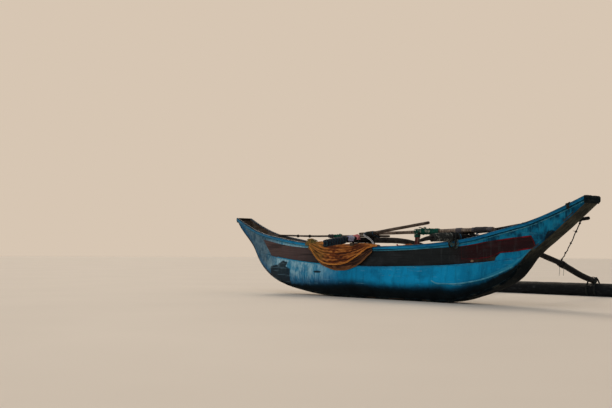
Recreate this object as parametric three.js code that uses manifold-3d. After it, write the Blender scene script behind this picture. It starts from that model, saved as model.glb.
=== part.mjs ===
// Outrigger canoe, beached: a narrow double-ended hull with a bulging lower
// body and upright washstrakes, two crooked booms lashed across the gunwales,
// a log float on the far side, poles stowed along the booms and a net hung
// over the near gunwale.
// Millimetres, +Z up, +X to the higher end (bow), +Y to the float.
// Origin: on the ground under the hull's centre line, amidships.
import * as THREE from 'three';
import { mergeVertices } from 'three/addons/utils/BufferGeometryUtils.js';
import Module from 'manifold-3d';

const wasm = await Module();
wasm.setup();

// ---------------------------------------------------------------- dimensions
const M = 1000;                   // metres to millimetres
const GAP = 0.4;                  // joint gap between touching pieces, mm

const BOW_X = 4.320;              // hull boards end here, the cap follows
const STERN_X = -4.285;
const CAP_LEN = 0.045;
const PLANK_T = 0.034;            // stem and bottom planks
const SHELL_T = 0.030;            // lower hull shell
const WASH_T = 0.022;             // washstrake boards
const FLANGE_T = 0.026;           // inward ledge on top of the shell
const PLANK_JOINT_BOW = 2.95;     // butt joints of bottom and stem planks
const PLANK_JOINT_STERN = -3.05;
const BOTTOM_JOINTS = [-1.00, 1.35]; // butt joints of the bottom planks
const SHELL_JOINTS = [-1.45, 1.20];  // butt joints of the side shells

const RAIL_OUT = 0.034;           // gunwale rail, outboard thickness
const RAIL_H = 0.046;             // rail height below the sheer
const HOLE_DROP = 0.094;          // lashing holes, below the sheer
const RAIL_LIP = 0.014;           // rail top above the board

const BOOM_R = 0.055;
const FLOAT_R = 0.135;
const FLOAT_Y = 4.10;
const FLOAT_X0 = -2.15, FLOAT_X1 = 3.45;
const BOOM_FORE_X = 1.86, BOOM_AFT_X = -0.57;
const LASH_FORE_NEAR_X = 1.857, LASH_FORE_FAR_X = 1.873;
const SEAT_H = 0.064;             // bearer under the aft boom

// Hull stations, metres.
//  x  half_bottom half_ledge ledge_width bulge z_ledge half_sheer z_sheer
const HULL = [
  [-4.32, 0.185, 0.185, 0.000, 0.000, 1.60, 0.185, 1.645],
  [-3.90, 0.188, 0.188, 0.000, 0.000, 1.10, 0.188, 1.452],
  [-3.55, 0.188, 0.192, 0.004, 0.004, 0.885, 0.192, 1.325],
  [-3.20, 0.186, 0.215, 0.015, 0.022, 0.820, 0.197, 1.237],
  [-2.80, 0.182, 0.240, 0.030, 0.045, 0.755, 0.203, 1.172],
  [-2.20, 0.180, 0.268, 0.042, 0.072, 0.690, 0.211, 1.082],
  [-1.50, 0.180, 0.288, 0.050, 0.090, 0.640, 0.218, 1.020],
  [-0.70, 0.180, 0.298, 0.052, 0.100, 0.610, 0.222, 0.986],
  [0.00, 0.180, 0.300, 0.052, 0.100, 0.600, 0.224, 0.978],
  [0.70, 0.180, 0.298, 0.052, 0.100, 0.612, 0.222, 0.993],
  [1.50, 0.178, 0.288, 0.050, 0.090, 0.637, 0.218, 1.040],
  [2.20, 0.175, 0.262, 0.040, 0.068, 0.682, 0.211, 1.122],
  [2.70, 0.175, 0.235, 0.028, 0.042, 0.730, 0.205, 1.228],
  [3.05, 0.186, 0.212, 0.014, 0.020, 0.778, 0.200, 1.305],
  [3.30, 0.191, 0.195, 0.004, 0.004, 0.820, 0.196, 1.362],
  [3.80, 0.190, 0.190, 0.000, 0.000, 1.200, 0.190, 1.530],
  [4.32, 0.190, 0.190, 0.000, 0.000, 1.700, 0.190, 1.740],
];
const COL = { half_bottom: 1, half_ledge: 2, ledge_width: 3, bulge: 4, z_ledge: 5, half_sheer: 6, z_sheer: 7 };

// Outer face of the stem and bottom planks: x, z, metres.
const PROFILE = [
  [-4.36, 1.640], [-4.21, 1.445], [-4.06, 1.300], [-3.91, 1.175], [-3.79, 1.065],
  [-3.69, 0.955], [-3.62, 0.850], [-3.54, 0.730], [-3.44, 0.615], [-3.30, 0.495],
  [-3.14, 0.390], [-2.95, 0.295], [-2.72, 0.220], [-2.40, 0.145], [-2.00, 0.080],
  [-1.60, 0.032], [-1.20, 0.004], [-1.00, 0.000], [1.35, 0.000], [1.60, 0.006],
  [1.90, 0.050], [2.18, 0.125], [2.50, 0.228], [2.78, 0.345], [2.97, 0.460],
  [3.12, 0.620], [3.25, 0.780], [3.41, 0.925], [3.60, 1.065], [3.84, 1.250],
  [4.12, 1.478], [4.40, 1.702],
];

// ------------------------------------------------------------- interpolation
// Monotone cubic through a table's column.
function pchip(xs, ys) {
  const n = xs.length, h = [], d = [], m = new Array(n);
  for (let i = 0; i < n - 1; i++) { h[i] = xs[i + 1] - xs[i]; d[i] = (ys[i + 1] - ys[i]) / h[i]; }
  m[0] = d[0]; m[n - 1] = d[n - 2];
  for (let i = 1; i < n - 1; i++) {
    if (d[i - 1] * d[i] <= 0) m[i] = 0;
    else {
      const w1 = 2 * h[i] + h[i - 1], w2 = h[i] + 2 * h[i - 1];
      m[i] = (w1 + w2) / (w1 / d[i - 1] + w2 / d[i]);
    }
  }
  return (x) => {
    if (x <= xs[0]) return ys[0] + m[0] * (x - xs[0]);
    if (x >= xs[n - 1]) return ys[n - 1] + m[n - 1] * (x - xs[n - 1]);
    let i = 0;
    while (x > xs[i + 1]) i++;
    const t = (x - xs[i]) / h[i], t2 = t * t, t3 = t2 * t;
    return (2 * t3 - 3 * t2 + 1) * ys[i] + (t3 - 2 * t2 + t) * h[i] * m[i]
      + (-2 * t3 + 3 * t2) * ys[i + 1] + (t3 - t2) * h[i] * m[i + 1];
  };
}
const hullX = HULL.map((r) => r[0]);
const hull = {};
for (const [name, c] of Object.entries(COL)) hull[name] = pchip(hullX, HULL.map((r) => r[c]));
const zOut = pchip(PROFILE.map((p) => p[0]), PROFILE.map((p) => p[1]));
const zIn = (x) => {
  const s = (zOut(x + 0.004) - zOut(x - 0.004)) / 0.008;
  return zOut(x) + PLANK_T * Math.sqrt(1 + s * s);
};
// Outward swelling of the shell between the bottom plank (t=0) and ledge (t=1).
const swell = (t) => Math.sin(Math.PI * Math.pow(t, 0.8));
function shellY(x, z) {
  const z0 = zIn(x), z1 = hull.z_ledge(x);
  const t = Math.min(1, Math.max(0, (z - z0) / (z1 - z0)));
  return hull.half_bottom(x) + (hull.half_ledge(x) - hull.half_bottom(x)) * t + hull.bulge(x) * swell(t);
}
const washFoot = (x) => hull.half_ledge(x) - hull.ledge_width(x);
function washY(x, z) {
  const z0 = Math.max(hull.z_ledge(x), zIn(x)), z1 = hull.z_sheer(x);
  const t = Math.min(1, Math.max(0, (z - z0) / (z1 - z0)));
  return washFoot(x) + (hull.half_sheer(x) - washFoot(x)) * t;
}
// Where the shell has tapered down to a low wedge at each end.
function shellEnd(dir) {
  let a = 0, b = dir * 4.0;
  for (let i = 0; i < 50; i++) {
    const m = (a + b) / 2;
    if (hull.z_ledge(m) - zIn(m) > 0.045) a = m; else b = m;
  }
  return a;
}
const SHELL_BOW = shellEnd(1), SHELL_STERN = shellEnd(-1);

function spread(a, b, n) {
  const s = [];
  for (let i = 0; i <= n; i++) s.push(a + (b - a) * i / n);
  return s;
}
// One list of stations for the whole hull, so that neighbours share chords.
const STATIONS = [...spread(STERN_X, BOW_X, 42), PLANK_JOINT_STERN, PLANK_JOINT_BOW, SHELL_STERN, SHELL_BOW, ...BOTTOM_JOINTS, ...SHELL_JOINTS]
  .sort((p, q) => p - q).filter((x, i, l) => i === 0 || x - l[i - 1] > 0.012 || [SHELL_STERN, SHELL_BOW].includes(x));
function between(a, b) {
  return [a, ...STATIONS.filter((x) => x > a + 0.003 && x < b - 0.003), b];
}

// ------------------------------------------------------------------- helpers
const group = new THREE.Group();

function toGeometry(pos, idx) {
  const g = new THREE.BufferGeometry();
  g.setAttribute('position', new THREE.Float32BufferAttribute(pos, 3));
  g.setIndex(idx);
  return g;
}
function volume(g) {
  const p = g.attributes.position, ix = g.index.array;
  const a = new THREE.Vector3(), b = new THREE.Vector3(), c = new THREE.Vector3();
  let v = 0;
  for (let i = 0; i < ix.length; i += 3) {
    a.fromBufferAttribute(p, ix[i]); b.fromBufferAttribute(p, ix[i + 1]); c.fromBufferAttribute(p, ix[i + 2]);
    v += a.dot(b.clone().cross(c)) / 6;
  }
  return v;
}
function facingOut(g) {
  if (volume(g) < 0) {
    const a = g.index.array;
    for (let i = 0; i < a.length; i += 3) { const t = a[i]; a[i] = a[i + 1]; a[i + 1] = t; }
  }
  return g;
}
// Loft through closed loops of the same number of points, ends capped.
function loft(loops) {
  const n = loops[0].length, pos = [], idx = [];
  for (const l of loops) for (const p of l) pos.push(p[0] * M, p[1] * M, p[2] * M);
  for (let s = 0; s < loops.length - 1; s++)
    for (let i = 0; i < n; i++) {
      const j = (i + 1) % n, a = s * n + i, b = s * n + j, c = a + n, d = b + n;
      idx.push(a, b, d, a, d, c);
    }
  // end caps: strips across the loop, point i against its opposite n-1-i
  for (const [o, back] of [[0, true], [(loops.length - 1) * n, false]]) {
    const tri = (a, b, c) => (back ? idx.push(o + a, o + c, o + b) : idx.push(o + a, o + b, o + c));
    for (let i = 0; i < n - 2 - i; i++) {
      tri(i, i + 1, n - 1 - i);
      if (i + 1 < n - 2 - i) tri(i + 1, n - 2 - i, n - 1 - i);
    }
  }
  return facingOut(toGeometry(pos, idx));
}

// Round bar through points, metres, with a radius at each point.
function bar(points, radii, sides = 10, steps = 0, closedEnds = 0.35) {
  let pts = points.map((p) => new THREE.Vector3(...p)), rad = radii;
  if (steps) {
    const curve = new THREE.CatmullRomCurve3(pts, false, 'centripetal');
    const n = points.length - 1, np = [], nr = [];
    for (let i = 0; i <= steps; i++) {
      const t = i / steps;
      np.push(curve.getPoint(t));
      const k = Math.min(n - 1, Math.floor(t * n)), f = t * n - k;
      nr.push(radii[k] + (radii[k + 1] - radii[k]) * f);
    }
    pts = np; rad = nr;
  }
  // rounded-over end rings
  const first = pts[0].clone(), last = pts[pts.length - 1].clone();
  const d0 = pts[1].clone().sub(first).normalize(), d1 = last.clone().sub(pts[pts.length - 2]).normalize();
  if (closedEnds > 0) {
    const r0 = rad[0], r1 = rad[rad.length - 1];
    pts = [first, first.clone().addScaledVector(d0, r0 * closedEnds), ...pts.slice(1, -1),
      last.clone().addScaledVector(d1, -r1 * closedEnds), last];
    rad = [r0 * 0.8, r0, ...rad.slice(1, -1), r1, r1 * 0.8];
  }
  const loops = [];
  let nrm = null;
  for (let i = 0; i < pts.length; i++) {
    const t = pts[Math.min(i + 1, pts.length - 1)].clone().sub(pts[Math.max(i - 1, 0)]).normalize();
    if (!nrm) {
      nrm = new THREE.Vector3(0, 0, 1).addScaledVector(t, -t.z);
      if (nrm.length() < 0.2) nrm = new THREE.Vector3(1, 0, 0).addScaledVector(t, -t.x);
    } else nrm.addScaledVector(t, -nrm.dot(t));
    nrm.normalize();
    const bin = t.clone().cross(nrm);
    const loop = [];
    for (let k = 0; k < sides; k++) {
      const a = (k + 0.5) / sides * Math.PI * 2;
      const q = pts[i].clone().addScaledVector(nrm, Math.cos(a) * rad[i]).addScaledVector(bin, Math.sin(a) * rad[i]);
      loop.push([q.x, q.y, q.z]);
      loop.flat2d = loop.flat2d || [];
      loop.flat2d.push([Math.cos(a), Math.sin(a)]);
    }
    loops.push(loop);
  }
  const n = sides, pos = [], idx = [];
  for (const l of loops) for (const p of l) pos.push(p[0] * M, p[1] * M, p[2] * M);
  for (let s = 0; s < loops.length - 1; s++)
    for (let i = 0; i < n; i++) {
      const j = (i + 1) % n, a = s * n + i, b = s * n + j, c = a + n, d = b + n;
      idx.push(a, b, d, a, d, c);
    }
  for (let i = 1; i < n - 1; i++) {
    idx.push(0, i + 1, i);
    const o = (loops.length - 1) * n;
    idx.push(o, o + i, o + i + 1);
  }
  return facingOut(toGeometry(pos, idx));
}
function box(x0, x1, y0, y1, z0, z1) {
  const g = new THREE.BoxGeometry((x1 - x0) * M, (y1 - y0) * M, (z1 - z0) * M);
  g.translate((x0 + x1) / 2 * M, (y0 + y1) / 2 * M, (z0 + z1) / 2 * M);
  return g;
}
// Outline with straight sides and rounded corners, about a centre.
function roundOutline(cu, cv, hu, hv, r, out = 0, per = 4) {
  const pts = [];
  for (const [q, su, sv] of [[0, 1, 1], [1, -1, 1], [2, -1, -1], [3, 1, -1]])
    for (let k = 0; k <= per; k++) {
      const a = (q + k / per) * Math.PI / 2;
      pts.push(new THREE.Vector2((cu + su * (hu - r) + Math.cos(a) * (r + out)) * M, (cv + sv * (hv - r) + Math.sin(a) * (r + out)) * M));
    }
  return pts.filter((p, i) => p.distanceTo(pts[(i + 1) % pts.length]) > 0.05);
}
// Rope turns drawn as a band with that outline: across X,Z with its width in Y
// from w0 to w1, or across Y,Z with its width in X.
function band(plane, [cu, cv, hu, hv, r], t, w0, w1) {
  const shape = new THREE.Shape(roundOutline(cu, cv, hu, hv, r, t));
  shape.holes.push(new THREE.Path(roundOutline(cu, cv, hu, hv, r)));
  const g = new THREE.ExtrudeGeometry(shape, { depth: (w1 - w0) * M, bevelEnabled: false, steps: 1 });
  g.rotateX(Math.PI / 2);
  if (plane === 'xz') g.translate(0, w1 * M, 0);
  else { g.rotateZ(Math.PI / 2); g.translate(w0 * M, 0, 0); }
  return g;
}
function solid(geometry) {
  let g = geometry.clone();
  g.deleteAttribute('normal'); g.deleteAttribute('uv');
  g = mergeVertices(g, 1e-3);
  return new wasm.Manifold(new wasm.Mesh({
    numProp: 3,
    vertProperties: new Float32Array(g.attributes.position.array),
    triVerts: new Uint32Array(g.index.array),
  }));
}
function unsolid(s) {
  const m = s.getMesh();
  return toGeometry(Array.from(m.vertProperties), Array.from(m.triVerts));
}
const cut = (g, ...tools) => unsolid(tools.reduce((s, t) => s.subtract(solid(t)), solid(g)));
const join = (...gs) => unsolid(gs.slice(1).reduce((s, t) => s.add(solid(t)), solid(gs[0])));

const FINISH = {
  blue_hull: { color: 0x2a7fa6, roughness: 0.5, metalness: 0 },
  blue_rail: { color: 0x2f93c4, roughness: 0.42, metalness: 0 },
  wash_paint: { color: 0x3c2422, roughness: 0.6, metalness: 0 },
  dark_bottom: { color: 0x2b2a24, roughness: 0.75, metalness: 0 },
  dark_wood: { color: 0x2c2522, roughness: 0.8, metalness: 0 },
  pole_wood: { color: 0x5b4d45, roughness: 0.75, metalness: 0 },
  red_wood: { color: 0x6e2a2a, roughness: 0.7, metalness: 0 },
  bare_wood: { color: 0x6b5340, roughness: 0.8, metalness: 0 },
  dark_rope: { color: 0x1f2320, roughness: 0.9, metalness: 0 },
  green_rope: { color: 0x0d5a48, roughness: 0.85, metalness: 0 },
  net: { color: 0x9a5a1e, roughness: 0.95, metalness: 0 },
};
function add(name, finish, geometry) {
  const f = FINISH[finish];
  const g = geometry.clone();
  g.deleteAttribute('uv');
  g.computeVertexNormals();
  const mesh = new THREE.Mesh(g, new THREE.MeshStandardMaterial({ ...f, flatShading: true }));
  mesh.name = name;
  mesh.castShadow = true;
  group.add(mesh);
}
const SIDES = [['near', -1], ['far', 1]];

// --------------------------------------------------------------------- hull
// Planks: rectangular section at each station.
function plank(xs) {
  return loft(xs.map((x) => {
    const b = hull.half_bottom(x), z0 = zOut(x), z1 = zIn(x);
    return [[x, -b, z0], [x, b, z0], [x, b, z1], [x, -b, z1]];
  }));
}
const g2 = GAP / 2 / M;
// a long run split at its joints: [part of the name, from, to]
const lengths = (from, joints, to) => ['aft', 'mid', 'fore'].map((nm, i) => [nm,
  i ? joints[i - 1] + g2 : from, i < joints.length ? joints[i] - g2 : to]);
for (const [nm, a, b] of lengths(PLANK_JOINT_STERN + g2, BOTTOM_JOINTS, PLANK_JOINT_BOW - g2))
  add(`bottom_plank_${nm}`, 'dark_bottom', plank(between(a, b)));
add('bow_stem_plank', 'dark_bottom', plank(between(PLANK_JOINT_BOW + g2, BOW_X)));
add('stern_stem_plank', 'dark_bottom', plank(between(STERN_X, PLANK_JOINT_STERN - g2)));

// Lower hull shell: bulging side with an inward ledge that the washstrake stands on.
const SHELL_N = 7;
function shellLoop(x, side) {
  const z0 = zIn(x) + GAP / M, z1 = hull.z_ledge(x), l = [];
  for (let i = 0; i <= SHELL_N; i++) {
    const t = i / SHELL_N, z = z0 + (z1 - z0) * t;
    l.push([x, side * shellY(x, z), z]);
  }
  const inY = washFoot(x) - WASH_T - 0.006;
  l.push([x, side * inY, z1]);
  l.push([x, side * inY, z1 - FLANGE_T]);
  for (let i = SHELL_N; i >= 0; i--) {
    const t = i / SHELL_N * (1 - (FLANGE_T + 0.004) / (z1 - z0)), z = z0 + (z1 - z0) * t;
    l.push([x, side * (shellY(x, z) - SHELL_T), z]);
  }
  return l;
}
for (const [nm, side] of SIDES)
  for (const [len, a, b] of lengths(SHELL_STERN, SHELL_JOINTS, SHELL_BOW))
    add(`side_shell_${nm}_${len}`, 'blue_hull', loft(between(a, b).map((x) => shellLoop(x, side))));

// Washstrakes: upright boards from the ledge to the sheer, down to the stem
// planks past the shell's ends, with a hole for each boom lashing.
const washXs = [...between(STERN_X, SHELL_STERN - 0.0012), SHELL_STERN - 0.0004,
  ...between(SHELL_STERN, SHELL_BOW).slice(1, -1), SHELL_BOW + 0.0004, ...between(SHELL_BOW + 0.0012, BOW_X)];
function washLoop(x, side) {
  const beyond = x < SHELL_STERN - 0.001 || x > SHELL_BOW + 0.001;
  const z0 = (beyond ? zIn(x) : hull.z_ledge(x)) + GAP / M, z1 = hull.z_sheer(x);
  const yb = washFoot(x), yt = hull.half_sheer(x);
  return [[x, side * yb, z0], [x, side * yt, z1], [x, side * (yt - WASH_T), z1], [x, side * (yb - WASH_T), z0]];
}
const HOLE_Z = (x) => hull.z_sheer(x) - HOLE_DROP;
for (const [nm, side] of SIDES) {
  let g = loft(washXs.map((x) => washLoop(x, side)));
  const hole = (bx) => {
    const y = hull.half_sheer(bx), z = HOLE_Z(bx);
    return box(bx - 0.050, bx + 0.050, Math.min(side * (y + 0.06), side * (y - 0.08)), Math.max(side * (y + 0.06), side * (y - 0.08)), z - 0.019, z + 0.019);
  };
  const holes = nm === 'near' ? [hole(LASH_FORE_NEAR_X)] : [hole(LASH_FORE_FAR_X), hole(BOOM_AFT_X)];
  add(`washstrake_${nm}`, 'wash_paint', cut(g, ...holes));
}

// Gunwale rails: outboard strip with a lip over the board's top edge.
const railXs = between(STERN_X, BOW_X);
for (const [nm, side] of SIDES)
  add(`rail_${nm}`, 'blue_rail', loft(railXs.map((x) => {
    const y = hull.half_sheer(x), z = hull.z_sheer(x), e = GAP / M;
    return [[x, side * (y - 0.026), z + e], [x, side * (y + 0.0012), z + e], [x, side * (washY(x, z - RAIL_H) + 0.0012), z - RAIL_H],
      [x, side * (y + RAIL_OUT), z - RAIL_H], [x, side * (y + RAIL_OUT), z + 0.004],
      [x, side * (y + RAIL_OUT - 0.010), z + RAIL_LIP], [x, side * (y - 0.026), z + RAIL_LIP]];
  })));

// End caps: a block across each tip, its outer corners rounded in plan.
function capBlock(xz, xb, half, r) {
  const len = Math.max(...xz.map((p) => Math.abs(p[0] - xb)));
  const zc = xz.reduce((t, p) => t + p[1], 0) / xz.length;
  const ends = [0, 0.12, 0.32, 0.62, 1].map((f) => f * r);
  const at = (d) => [(len - r + Math.sqrt(r * r - (r - d) * (r - d))) / len, d < 0.003 ? 0.90 : d < 0.006 ? 0.97 : 1];
  const ys = [...ends.map((d) => [-half + d, d]), ...ends.slice().reverse().map((d) => [half - d, d])];
  return loft(ys.map(([y, d]) => {
    const [k, m] = at(d);
    return xz.map((p) => [xb + (p[0] - xb) * k, y, zc + (p[1] - zc) * m]);
  }));
}
{
  const x = BOW_X + GAP / M, zb = zOut(BOW_X), zt = hull.z_sheer(BOW_X) + RAIL_LIP + 0.004;
  add('bow_cap', 'dark_wood', capBlock([[x, zb], [x + CAP_LEN, zb + 0.036], [x + CAP_LEN, zt - 0.020], [x + 0.026, zt + 0.004], [x, zt]], x, 0.222, 0.034));
  const xs = STERN_X - GAP / M, zbs = zOut(STERN_X), zts = hull.z_sheer(STERN_X) + RAIL_LIP + 0.004;
  add('stern_cap', 'blue_hull', capBlock([[xs, zbs], [xs, zts], [xs - 0.026, zts + 0.004], [xs - 0.040, zts - 0.014], [xs - 0.040, zbs + 0.046]], xs, 0.216, 0.030));
}

// Bead on the ledge, and the raised strake low on each bow.
const STRIP_X0 = -2.85, STRIP_X1 = 2.70;
for (const [nm, side] of SIDES) {
  add(`ledge_strip_${nm}`, 'blue_rail', loft(between(STRIP_X0, STRIP_X1).map((x) => {
    const y = hull.half_ledge(x), z = hull.z_ledge(x) + GAP / M;
    return [[x, side * (y - 0.022), z], [x, side * (y - 0.001), z], [x, side * (y - 0.003), z + 0.010],
      [x, side * (y - 0.009), z + 0.015], [x, side * (y - 0.022), z + 0.015]];
  })));
}
// strake height above ground along the bow: x, z
const STRAKE = [[1.42, 0.385], [1.57, 0.338], [1.89, 0.342], [2.21, 0.382], [2.45, 0.430], [2.68, 0.500], [2.90, 0.590], [3.05, 0.665]];
const strakeZ = pchip(STRAKE.map((p) => p[0]), STRAKE.map((p) => p[1]));
for (const [nm, side] of SIDES)
  add(`bow_strake_${nm}`, 'blue_rail', loft(between(1.42, 3.05).map((x, i, a) => {
    const z = strakeZ(x), e = 0.0012, p = (i === 0 || i === a.length - 1) ? 0.004 : 0.015;
    return [[x, side * (shellY(x, z - 0.013) + e), z - 0.013], [x, side * (shellY(x, z - 0.006) + p), z - 0.006],
      [x, side * (shellY(x, z + 0.006) + p), z + 0.006], [x, side * (shellY(x, z + 0.013) + e), z + 0.013]];
  })));

// Thwarts: name, x, drop below the sheer, width.
const THWARTS = [['thwart_stern', -2.95, 0.20, 0.24], ['thwart_aft', -1.55, 0.19, 0.22], ['thwart_mast', 0.76, 0.20, 0.24], ['thwart_bow', 2.95, 0.22, 0.24]];
for (const [nm, x, drop, w] of THWARTS) {
  const z = hull.z_sheer(x) - drop;
  const y = Math.min(washY(x - w / 2, z - 0.03), washY(x + w / 2, z - 0.03), washY(x - w / 2, z), washY(x + w / 2, z)) - WASH_T - 0.001;
  add(nm, 'bare_wood', box(x - w / 2, x + w / 2, -y, y, z - 0.028, z));
}

// --------------------------------------------------------- booms and float
const railTop = (x) => hull.z_sheer(x) + RAIL_LIP;
const foreZ = railTop(BOOM_FORE_X) + BOOM_R + 0.002;
const aftZ = railTop(BOOM_AFT_X) + SEAT_H + BOOM_R + 0.003;
// centre line x, y, z and radius
const BOOM_FORE = [
  [1.830, -1.12, 1.072, 0.026], [1.838, -0.86, 1.122, 0.040], [1.848, -0.50, foreZ - 0.004, 0.050], [1.858, -0.20, foreZ, 0.055],
  [1.865, 0.00, foreZ, 0.055], [1.872, 0.22, foreZ, 0.055], [1.893, 0.70, foreZ - 0.004, 0.055], [1.925, 1.40, 1.072, 0.054],
  [1.968, 2.35, 0.835, 0.052], [1.992, 2.86, 0.703, 0.053], [2.002, 3.08, 0.634, 0.063], [2.030, 3.68, 0.424, 0.062],
  [2.047, 3.98, 0.345, 0.056], [2.058, 4.17, 0.300, 0.052]];
const BOOM_AFT = [
  [-0.570, -0.97, 1.044, 0.055], [-0.570, -0.66, 1.086, 0.056], [-0.570, -0.345, aftZ, 0.055], [-0.570, 0.00, aftZ, 0.055], [-0.570, 0.22, aftZ, 0.055],
  [-0.570, 0.81, aftZ + 0.003, 0.058], [-0.566, 1.10, 1.114, 0.057], [-0.555, 1.55, 1.068, 0.055], [-0.515, 2.40, 0.838, 0.053], [-0.470, 3.10, 0.628, 0.054],
  [-0.430, 3.70, 0.424, 0.058], [-0.408, 3.99, 0.345, 0.055], [-0.396, 4.17, 0.300, 0.052]];
const boom = (rows, steps) => bar(rows.map((r) => r.slice(0, 3)), rows.map((r) => r[3]), 10, steps, 0.3);
// float: x, radius, centre height; it rests on the ground along its middle
const FLOAT = [
  [FLOAT_X0, 0.038, 0.218], [FLOAT_X0 + 0.10, 0.078, 0.186], [FLOAT_X0 + 0.35, 0.114, 0.150], [FLOAT_X0 + 0.85, 0.133, FLOAT_R],
  [-0.40, FLOAT_R, FLOAT_R], [0.80, FLOAT_R, FLOAT_R], [2.05, FLOAT_R, FLOAT_R], [FLOAT_X1 - 0.85, 0.133, FLOAT_R],
  [FLOAT_X1 - 0.35, 0.114, 0.156], [FLOAT_X1 - 0.10, 0.078, 0.206], [FLOAT_X1, 0.038, 0.242]];
// flats are cut on the float's top for the booms to sit in, with clearance
const floatBody = bar(FLOAT.map((r) => [r[0], FLOAT_Y, r[2]]), FLOAT.map((r) => r[1]), 16, 0, 0);
const boomClear = (rows) => bar(rows.map((r) => r.slice(0, 3)), rows.map((r) => r[3] + 0.0016), 10, 0, 0);
floatBody.translate(0, 0, -4);
add('boom_fore', 'dark_wood', boom(BOOM_FORE, 0));
add('boom_aft', 'dark_wood', boom(BOOM_AFT, 0));
{
  const g0 = box(FLOAT_X0 - 0.2, FLOAT_X1 + 0.2, FLOAT_Y - 0.3, FLOAT_Y + 0.3, -0.3, 0.0);
  add('float_log', 'dark_wood', cut(floatBody, g0, boomClear(BOOM_FORE.slice(-3)), boomClear(BOOM_AFT.slice(-3))));
}
// bearer under the aft boom
add('boom_seat_aft', 'bare_wood', box(BOOM_AFT_X - 0.045, BOOM_AFT_X + 0.045, -0.30, 0.30, railTop(BOOM_AFT_X) + GAP / M + 0.0006, railTop(BOOM_AFT_X) + SEAT_H));

// ------------------------------------------------------------------ lashings
// A lashing: rope turns over the boom outside and inside the gunwale, joined
// through the hole below the rail.
function lashing(bx, boomZ, side) {
  const y = hull.half_sheer(bx), hz = HOLE_Z(bx), r = BOOM_R + 0.005;
  const top = boomZ + r, bot = hz - 0.016;
  const turn = [bx, (top + bot) / 2, r, (top - bot) / 2, r];
  const y0 = y + RAIL_OUT + 0.003, y1 = y0 + 0.040, i1 = y - 0.030, i0 = i1 - 0.040;
  const span = (a, b) => [Math.min(side * a, side * b), Math.max(side * a, side * b)];
  return join(band('xz', turn, 0.018, ...span(y0, y1)), band('xz', turn, 0.018, ...span(i0, i1)),
    box(bx - 0.040, bx + 0.040, ...span(i0 + 0.006, y1 - 0.006), hz - 0.017, hz - 0.002));
}
add('lashing_fore_near', 'dark_rope', lashing(LASH_FORE_NEAR_X, foreZ, -1));
add('lashing_fore_far', 'dark_rope', lashing(LASH_FORE_FAR_X, foreZ, 1));
add('lashing_aft_far', 'dark_rope', lashing(BOOM_AFT_X, aftZ, 1));
{
  // near aft lashing: turns inside the gunwale only, the net hangs outside
  const y = hull.half_sheer(BOOM_AFT_X), r = BOOM_R + 0.005, top = aftZ + r, bot = hull.z_sheer(BOOM_AFT_X) - 0.10;
  add('lashing_aft_near', 'dark_rope', band('xz', [BOOM_AFT_X, (top + bot) / 2, r, (top - bot) / 2, r], 0.018, -(y - 0.030), -(y - 0.070)));
}
// rope serving wound on the fore boom inboard of the near gunwale
function serving(rows, y0, y1, t, n) {
  const path = pchip(rows.map((r) => r[1]), rows.map((r) => r[2]));
  const px = pchip(rows.map((r) => r[1]), rows.map((r) => r[0]));
  const pr = pchip(rows.map((r) => r[1]), rows.map((r) => r[3]));
  const sides = 12, outer = [], inner = [];
  for (let i = 0; i <= n; i++) {
    const y = y0 + (y1 - y0) * i / n, s = (i === 0 || i === n) ? 0.55 : 1;
    const lo = [], li = [];
    for (let k = 0; k < sides; k++) {
      const a = k / sides * Math.PI * 2;
      const ro = pr(y) + 0.0065 + t * s, ri = pr(y) + 0.0065;
      lo.push([px(y) + Math.cos(a) * ro, y, path(y) + Math.sin(a) * ro]);
      li.push([px(y) + Math.cos(a) * ri, y, path(y) + Math.sin(a) * ri]);
    }
    outer.push(lo); inner.push(li);
  }
  const pos = [], idx = [], m = (n + 1) * sides;
  for (const l of [...outer, ...inner]) for (const p of l) pos.push(p[0] * M, p[1] * M, p[2] * M);
  const quad = (a, b, c, d) => idx.push(a, b, c, a, c, d);
  for (let s = 0; s < n; s++) for (let i = 0; i < sides; i++) {
    const j = (i + 1) % sides;
    quad(s * sides + i, s * sides + j, (s + 1) * sides + j, (s + 1) * sides + i);
    quad(m + s * sides + j, m + s * sides + i, m + (s + 1) * sides + i, m + (s + 1) * sides + j);
  }
  for (let i = 0; i < sides; i++) {
    const j = (i + 1) % sides;
    quad(j, i, m + i, m + j);
    quad(n * sides + i, n * sides + j, m + n * sides + j, m + n * sides + i);
  }
  return facingOut(toGeometry(pos, idx));
}
add('rope_serving_fore', 'dark_rope', serving(BOOM_FORE, -0.82, -0.33, 0.018, 6));
// turns that hold each boom's outer end down on the float
for (const [nm, bx] of [['fore', 2.052], ['aft', -0.400]]) {
  // a turn each side of the boom over the float, tied by a bar of rope over the boom
  const top = 0.380, r = FLOAT_R + 0.007, turn = [FLOAT_Y, (top + FLOAT_R - r) / 2 - 0.002, r, (top - FLOAT_R + r) / 2 + 0.002, r];
  add(`float_lashing_${nm}`, 'dark_rope', cut(
    join(band('yz', turn, 0.014, bx - 0.098, bx - 0.066), band('yz', turn, 0.014, bx + 0.066, bx + 0.098),
      box(bx - 0.080, bx + 0.080, FLOAT_Y - 0.020, FLOAT_Y + 0.020, top + 0.001, top + 0.0155)),
    box(bx - 0.3, bx + 0.3, FLOAT_Y - 0.4, FLOAT_Y + 0.4, -0.3, 0.110)));
}

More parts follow.
